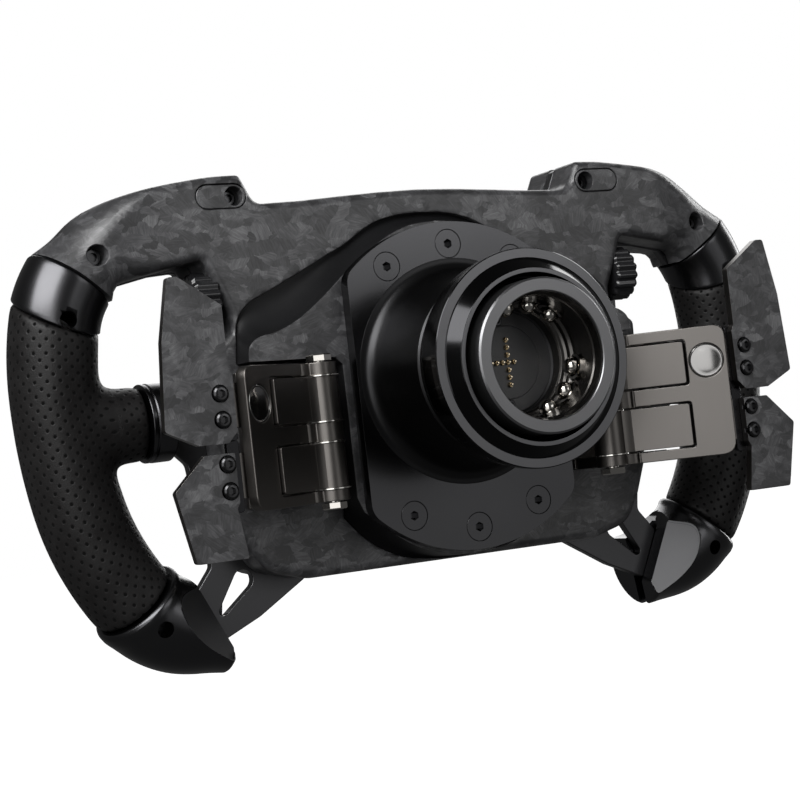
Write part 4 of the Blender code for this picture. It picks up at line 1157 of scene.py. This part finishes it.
def build_blade(kind, side, word, outline, screw_heights):
    blade = Solid()
    blade.prism([(side * x, z) for x, z in soften(outline, 0.8, True, 4)], *BLADE_Y)
    screw_x = side * BLADE_SCREW_X
    tools = [drill(2.9, -33.0, -30, "Y", (screw_x, 0, z)) for z in screw_heights]
    for face in blade.bm.faces:
        face.normal_update()
        if abs(face.normal.y) < 0.5:
            face.material_index = 1
    piece = carve(blade.made("%s_blade_carbon_%s" % (kind, word), [M["blade"], M["edge"]]), *tools)
    polish(piece, bevel=0.42, segments=3)
    stand_in(piece, "%s_paddle_%s" % (kind, word), "forged_carbon", "%s_blade_%s" % (kind, word))
    screws = Solid()
    for z in screw_heights:
        rings = [ring_at(screw_x, z, radius, y, 36) for radius, y in ((1.6, -38.0), (1.6, -33.0),
                                                                      (2.6, -32.95), (2.62, -31.2),
                                                                      (2.4, -30.6), (1.9, -30.25))]
        rings += [hexagon_at(screw_x, z, reach, y, 36)
                  for reach, y in ((1.1875, -30.2), (1.14, -31.4))]
        screws.loft(rings)
    stand_in(screws.made("%s_blade_screws_%s" % (kind, word), M["screw"], smooth=30.0),
             "%s_paddle_%s" % (kind, word), "black_oxide_steel")


# --- grips ----------------------------------------------------------------------------
def piece_of_path(side, start, end, trim_start, trim_end):
    part = PATH[start:end + 1]
    (first, first_way), (last, last_way) = part[0], part[-1]
    part[0] = (first + first_way * trim_start, first_way)
    part[-1] = (last - last_way * trim_end, last_way)
    return sided(part, side)


def travelled(stations):
    total, distance = 0.0, [0.0]
    for (a, _), (b, _) in zip(stations, stations[1:]):
        total += (b - a).length
        distance.append(total)
    return distance


def with_ends(stations, radius, edge):
    """Stations and radii of a tube with rounded end edges."""
    way = travelled(stations)
    total = way[-1]
    parts = max(2, int(total / 1.2))
    spots = [total * i / parts for i in range(parts + 1)]
    spots = [s for s in spots if edge < s < total - edge]
    ends = [edge * (1 - math.cos(math.radians(a))) for a in (0, 25, 50, 75)]
    spots = ends + spots + [total - e for e in reversed(ends)]
    result, radii = [], []
    for s in spots:
        k = max(i for i, d in enumerate(way[:-1]) if d <= s + 1e-9)
        t = (s - way[k]) / max(way[k + 1] - way[k], 1e-9)
        point = stations[k][0].lerp(stations[k + 1][0], t)
        tangent = stations[k][1].lerp(stations[k + 1][1], t).normalized()
        result.append((point, tangent))
        near = min(s, total - s)
        drop = 0.0 if near >= edge else edge - math.sqrt(max(edge ** 2 - (edge - near) ** 2, 0.0))
        radii.append(radius - drop)
    return result, radii


def leaning(stations, side, start, end, reach=22.0):
    """Slopes of each ring, in the grip plane and towards the back, from those of the end cuts."""
    way = travelled(stations)
    total = way[-1]
    slopes = []
    for s in way:
        slope = start * max(0.0, 1.0 - s / reach) + end * max(0.0, 1.0 - (total - s) / reach)
        slopes.append(Vector((side * slope.x, slope.y)))
    return slopes


FLAT, TOP_LEAN, CAP_LEAN = Vector((0.0, 0.0)), Vector((0.1, 0.36)), Vector((0.0, 0.2))
SPOKE_COLLAR_X = (97.5, 106.3)
HOLE_PITCH = 4.35  # millimetres between the holes of the leather


def build_grip(side, word):
    stations, radii = with_ends(piece_of_path(side, LEATHER_TOP, LEATHER_END, 0.2, 0.2),
                                GRIP_RADIUS, 1.4)
    grip = Solid()
    grip.tube(stations, 64, radii, leaning(stations, side, TOP_LEAN, CAP_LEAN))
    grip = grip.made("grip_tube_" + word, M["leather"])
    low, high = SPOKE_COLLAR_X[1], 134.0
    branch = tool(lambda s: s.lathe([(0, side * low), (SPOKE_RADIUS - 0.8, side * low),
                                     (SPOKE_RADIUS, side * (low + 1)), (SPOKE_RADIUS, side * high),
                                     (0, side * high)], "X", (0, GRIP_Y, SPOKE_Z), 64))
    carve(grip, branch, operation="UNION")
    grip.modifiers.clear()
    remesh = grip.modifiers.new("Remesh", "REMESH")
    remesh.mode = "VOXEL"
    remesh.voxel_size = 0.0011
    settle(grip)
    mesh = grip.data
    count = len(mesh.vertices)
    place = np.empty(count * 3)
    mesh.vertices.foreach_get("co", place)
    place = place.reshape(-1, 3) * 1000.0
    spine = np.array([(p.x, p.y) for p, _ in stations])
    join = spine[np.argmin(np.abs(spine[:, 1] - SPOKE_Z))]
    reach = np.hypot(place[:, 0] - (join[0] - side * 12.0), (place[:, 2] - SPOKE_Z))
    weight = np.clip(1.0 - (reach - 10.0) / 12.0, 0.0, 1.0)
    edges = np.empty(len(mesh.edges) * 2, dtype=np.int64)
    mesh.edges.foreach_get("vertices", edges)
    edges = edges.reshape(-1, 2)
    degree = np.bincount(edges.ravel(), minlength=count)[:, None]
    # smooths the joint with the spoke, and the whole grip in the first three turns
    for turn in range(70):
        total = np.zeros_like(place)
        np.add.at(total, edges[:, 0], place[edges[:, 1]])
        np.add.at(total, edges[:, 1], place[edges[:, 0]])
        pull = weight[:, None] * 0.5 if turn > 2 else np.maximum(weight, 0.6)[:, None] * 0.5
        place += (total / degree - place) * pull
    mesh.vertices.foreach_set("co", (place / 1000.0).ravel())
    way = np.array(travelled(stations))
    corner = np.empty(len(mesh.loops), dtype=np.int64)
    mesh.loops.foreach_get("vertex_index", corner)
    index = np.linalg.norm(place[:, None, [0, 2]] - spine[None], axis=2).argmin(1)
    tangents = np.array([(w.x, w.y) for _, w in stations])[index]
    offset = place[:, [0, 2]] - spine[index]
    along = way[index] + (offset * tangents).sum(1)
    across = offset[:, 0] * tangents[:, 1] - offset[:, 1] * tangents[:, 0]
    around = np.arctan2(place[:, 1] - GRIP_Y, across)
    spoke = side * (join[0] - place[:, 0]) > GRIP_RADIUS + 1.5
    spoke &= np.abs(place[:, 2] - SPOKE_Z) < SPOKE_RADIUS + 4.0
    around_spoke = np.arctan2(place[:, 1] - GRIP_Y, place[:, 2] - SPOKE_Z)
    wrap = np.where(spoke, round(2 * math.pi * SPOKE_RADIUS / HOLE_PITCH),
                    round(2 * math.pi * GRIP_RADIUS / HOLE_PITCH))
    u = np.where(spoke, around_spoke, around) / (2 * math.pi) * wrap
    v = np.where(spoke, np.abs(place[:, 0]), along) / HOLE_PITCH
    layer = mesh.uv_layers.new(name="UVMap")
    uv = np.stack([u[corner], v[corner]], 1)
    starts = np.empty(len(mesh.polygons), dtype=np.int64)
    sizes = np.empty(len(mesh.polygons), dtype=np.int64)
    mesh.polygons.foreach_get("loop_start", starts)
    mesh.polygons.foreach_get("loop_total", sizes)
    wrap_corner = wrap[corner]
    for start, size in zip(starts, sizes):
        part = uv[start:start + size, 0]
        if part.max() - part.min() > wrap_corner[start] / 2:
            part[part < 0] += wrap_corner[start]
    layer.data.foreach_set("uv", uv.ravel())
    mesh.polygons.foreach_set("use_smooth", [True] * len(mesh.polygons))
    mesh.materials.clear()
    mesh.materials.append(M["leather"])
    stand_in(grip, "wheel", "black_leather", "grip_" + word)


def build_fittings(side, word):
    stations, radii = with_ends(piece_of_path(side, ARM_MARK, LEATHER_TOP, 0.2, 0.2),
                                COLLAR_RADIUS + 0.1, 0.7)
    collar = Solid()
    collar.tube(stations, 96, radii, leaning(stations, side, FLAT, TOP_LEAN, 14.0))
    collar = collar.made("upper_collar_sleeve_" + word, M["gunmetal"])
    carve(collar, drill(2.9, -92, -70, "Y", (side * 132.3, 0, 29.0)))
    polish(collar, smooth=40.0)
    stand_in(collar, "wheel", "gunmetal_anodised", "upper_collar_" + word)

    ring = Solid()
    start, end = SPOKE_COLLAR_X
    ring.lathe(soften([(0, side * start), (SPOKE_RADIUS + 0.4, side * start),
                       (SPOKE_RADIUS + 0.5, side * (end - 2.4)),
                       (SPOKE_RADIUS + 0.1, side * (end - 2.0)),
                       (SPOKE_RADIUS + 0.4, side * (end - 1.4)), (SPOKE_RADIUS + 0.4, side * end),
                       (0, side * end)], 0.5, False), "X", (0, GRIP_Y, SPOKE_Z), 96)
    ring = ring.made("spoke_ring_" + word, M["gunmetal"], smooth=30.0)
    slot_y = (PLATE_Y[0] + 0.3, PLATE_Y[1] - 0.3)
    carve(ring, tool(lambda s: s.prism(box(side * 90.0, -18.0, side * 101.8, 5.5), *slot_y)))
    polish(ring, smooth=30.0)
    stand_in(ring, "wheel", "gunmetal_anodised", "spoke_collar_" + word)

    stations = piece_of_path(side, LEATHER_END, len(PATH) - 1, 0.2, 0.0)
    last, heading = stations[-1]
    stations.append((last + heading * 4.0, heading))
    stations, radii = with_ends(stations, CAP_RADIUS, 1.2)
    way = travelled(stations)
    cap = Solid()
    cap.tube(stations, 96, radii, leaning(stations, side, CAP_LEAN, FLAT, 26.0),
             lambda index: 0.4 * math.exp(-((way[index] - 2.4) / 1.8) ** 2))
    cap = cap.made("lower_cap_sculpted_" + word, [M["gunmetal"], M["facet"]])
    normal = Vector((-side * 0.464, 0.857, 0.223)).normalized()
    along = Vector((-side * 0.433, 0.0, -0.901))
    along = (along - normal * along.dot(normal)).normalized()
    across = normal.cross(along)
    middle = Vector((side * 89.6, -83.0, -75.2))
    tools = [tool(lambda s: s.prism(box(side * 78.0, -100.0, side * 95.8, -50.0), *slot_y)),
             drill(2.7, -90, -70, "Y", (side * 110.8, 0, -75.0)),
             tool(lambda s: s.plane_prism(box(-30, -30, 30, 30), middle, along, across, normal, 0.0,
                                          22.0)),
             tool(lambda s: s.prism([(side * 98.0, -50.0), (side * 98.0, -61.0),
                                     (side * 91.0, -66.5), (side * 60.0, -72.0),
                                     (side * 60.0, -50.0)], -120.0, -92.2)),
             tool(lambda s: s.prism([(side * 97.8, -58.1), (side * 83.4, -88.1),
                                     (side * 60.0, -90.0), (side * 60.0, -45.0),
                                     (side * 97.8, -45.0)], -92.2, -60.0))]
    carve(cap, *tools)
    # the flat is dished, with a rim that stays open at its inner edge
    facets = [f for f in cap.data.polygons if f.normal.dot(normal) > 0.999]
    widest = max(facets, key=lambda f: f.area)
    rim = [cap.data.vertices[i].co * 1000.0 - middle for i in widest.vertices]
    flat = [Vector((p.dot(along), p.dot(across))) for p in rim]
    heart = sum(flat, FLAT) / len(flat)
    inward = Vector((side * 0.901, 0.0, -0.433))
    inward = Vector((inward.dot(along), inward.dot(across))).normalized()
    edge = min(p.dot(inward) for p in flat)
    dish = []
    for p in flat:
        if p.dot(inward) - edge < 0.6:
            dish.append(tuple(p - inward * 3.0 + (heart - p).normalized() * 0.9))
        else:
            dish.append(tuple(p + (heart - p).normalized() * 0.7))
    carve(cap, tool(lambda s: s.plane_prism(dish, middle - normal * 0.5, along, across, normal, 0.0,
                                            6.0)))
    for polygon in cap.data.polygons:
        if polygon.normal.dot(normal) > 0.999 and polygon.area > 1e-5:
            polygon.material_index = 1
    polish(cap, bevel=0.3, segments=2, limit=32)
    stand_in(cap, "wheel", "gunmetal_anodised", "lower_cap_" + word)


# --- controls -------------------------------------------------------------------------
def build_button(side, word, index, x, z):
    button = Solid()
    button.lathe(soften([(0, -104.2), (5.5, -104.2), (5.5, -113.3, 0.5), (4.7, -114.2, 0.5),
                         (3.6, -114.2, 0.2), (3.2, -113.7, 0.3), (0, -113.5)], 0.1, False), "Y",
                 (side * x, 0, z), 64)
    name = "button_%s_%d" % (word, index)
    stand_in(button.made("push_cap_%s_%d" % (word, index), M["cap"], smooth=30.0), "push_" + name,
             "button_cap", name)
    ring = Solid()
    ring.lathe(soften([(5.75, -108.0), (7.4, -108.0), (7.4, -110.9, 0.3), (6.9, -111.4, 0.3),
                       (6.0, -111.4, 0.2), (5.75, -111.0)], 0.1), "Y", (side * x, 0, z), 64)
    stand_in(ring.made("push_bezel_%s_%d" % (word, index), M["gunmetal"], smooth=30.0), "wheel",
             "gunmetal_anodised")


def fluted(count, depth, rounding=2.0):
    """Radius of a knob with flutes around its side."""
    def radius_at(radius, height, angle):
        if radius < 6.0:
            return radius
        return radius - depth * (0.5 + 0.5 * math.cos(count * angle)) ** rounding
    return radius_at


def build_dials():
    for name, x, z in DIALS:
        dial = Solid()
        dial.lathe(soften([(0, -106.2), (3.0, -106.2), (3.0, -110.7), (9.4, -110.7), (9.5, -111.6),
                           (9.2, -118.6), (8.0, -120.3, 1.0), (0, -120.3)], 0.3, False), "Y",
                   (x, 0, z), 144, 0, fluted(18, 0.8))
        dial.plane_prism(soften(box(-0.45, 3.0, 0.45, 7.4), 0.2), (x, 0, z), (1, 0, 0), (0, 0, 1),
                         (0, -1, 0), 120.0, 120.5, 1)
        piece = dial.made("rotary_dial_" + name, [M["knob"], M["mark"]], smooth=30.0)
        stand_in(piece, "front_dial_" + name, "black_plastic", "dial_" + name)
        plate = Solid()
        plate.lathe(box(3.3, -110.6, 11.6, -110.05), "Y", (x, 0, z), 96)
        for a in circle(12):
            plate.plane_prism(box(10.1, -0.18, 11.2, 0.18), (x, 0, z), radial(a),
                              radial(a + math.pi / 2), (0, -1, 0), 110.4, 110.68, 1)
        stand_in(plate.made("dial_scale_" + name, [M["plastic"], M["mark"]], smooth=30.0), "wheel",
                 "black_plastic")


def build_thumb_encoder(side, word):
    knob = Solid()
    profile = soften([(0, 74.1), (3.9, 74.1), (3.9, 79.3), (9.2, 79.3), (10.0, 80.1), (10.0, 87.2),
                      (9.0, 88.3), (0, 88.3)], 0.4, False)
    knob.lathe([(r, side * x) for r, x in profile], "X", THUMB_AXIS, 160, 0, fluted(16, 1.0, 1.3))
    stand_in(knob.made("fluted_thumb_knob_" + word, M["knob"], smooth=40.0), "thumb_dial_" + word,
             "black_plastic", "thumb_encoder_" + word)


def build_display():
    outline = soften(box(-51.6, -16.8, 51.6, 44.8), 4.0, True, 6)
    inner = soften(box(-47.9, -12.9, 47.9, 40.9), 2.0, True, 6)
    bezel = Solid()
    rings = []
    for share, y in ((0.0, -110.1), (0.0, -112.2), (0.02, -112.8), (0.12, -113.0), (0.85, -113.0),
                     (0.97, -112.8), (1.0, -112.4), (1.0, -110.1)):
        rings.append([(a[0] + (b[0] - a[0]) * share, y, a[1] + (b[1] - a[1]) * share)
                      for a, b in zip(outline, inner)])
    bezel.loft(rings, closed=True)
    stand_in(bezel.made("display_frame", M["plastic"], smooth=30.0), "wheel", "black_plastic",
             "display_bezel")
    glass = Solid()
    glass.prism(soften(box(-47.0, -12.0, 47.0, 40.0), 2.0, True, 5), -107.2, -111.4)
    stand_in(glass.made("display_pane", M["glass"], bevel=0.3), "wheel", "display_glass",
             "display_glass")
    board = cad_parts["circuit_board"]
    board.data.materials.clear()
    board.data.materials.append(M["board"])


build_frame_plate()
build_flange()
build_quick_release()
for side, word in SIDES:
    build_bracket(side, word)
    build_pin(side, word)
    build_lever("shift", side, word, SHIFT_Z)
    build_lever("clutch", side, word, CLUTCH_Z)
    build_blade("shift", side, word, SHIFT_BLADE, (-1.3, -9.5))
    build_blade("clutch", side, word, CLUTCH_BLADE, (-23.4, -31.8))
    build_grip(side, word)
    build_fittings(side, word)
    for index, (x, z) in enumerate(BUTTONS):
        build_button(side, word, index + 1, x, z)
    build_thumb_encoder(side, word)
build_dials()
build_display()
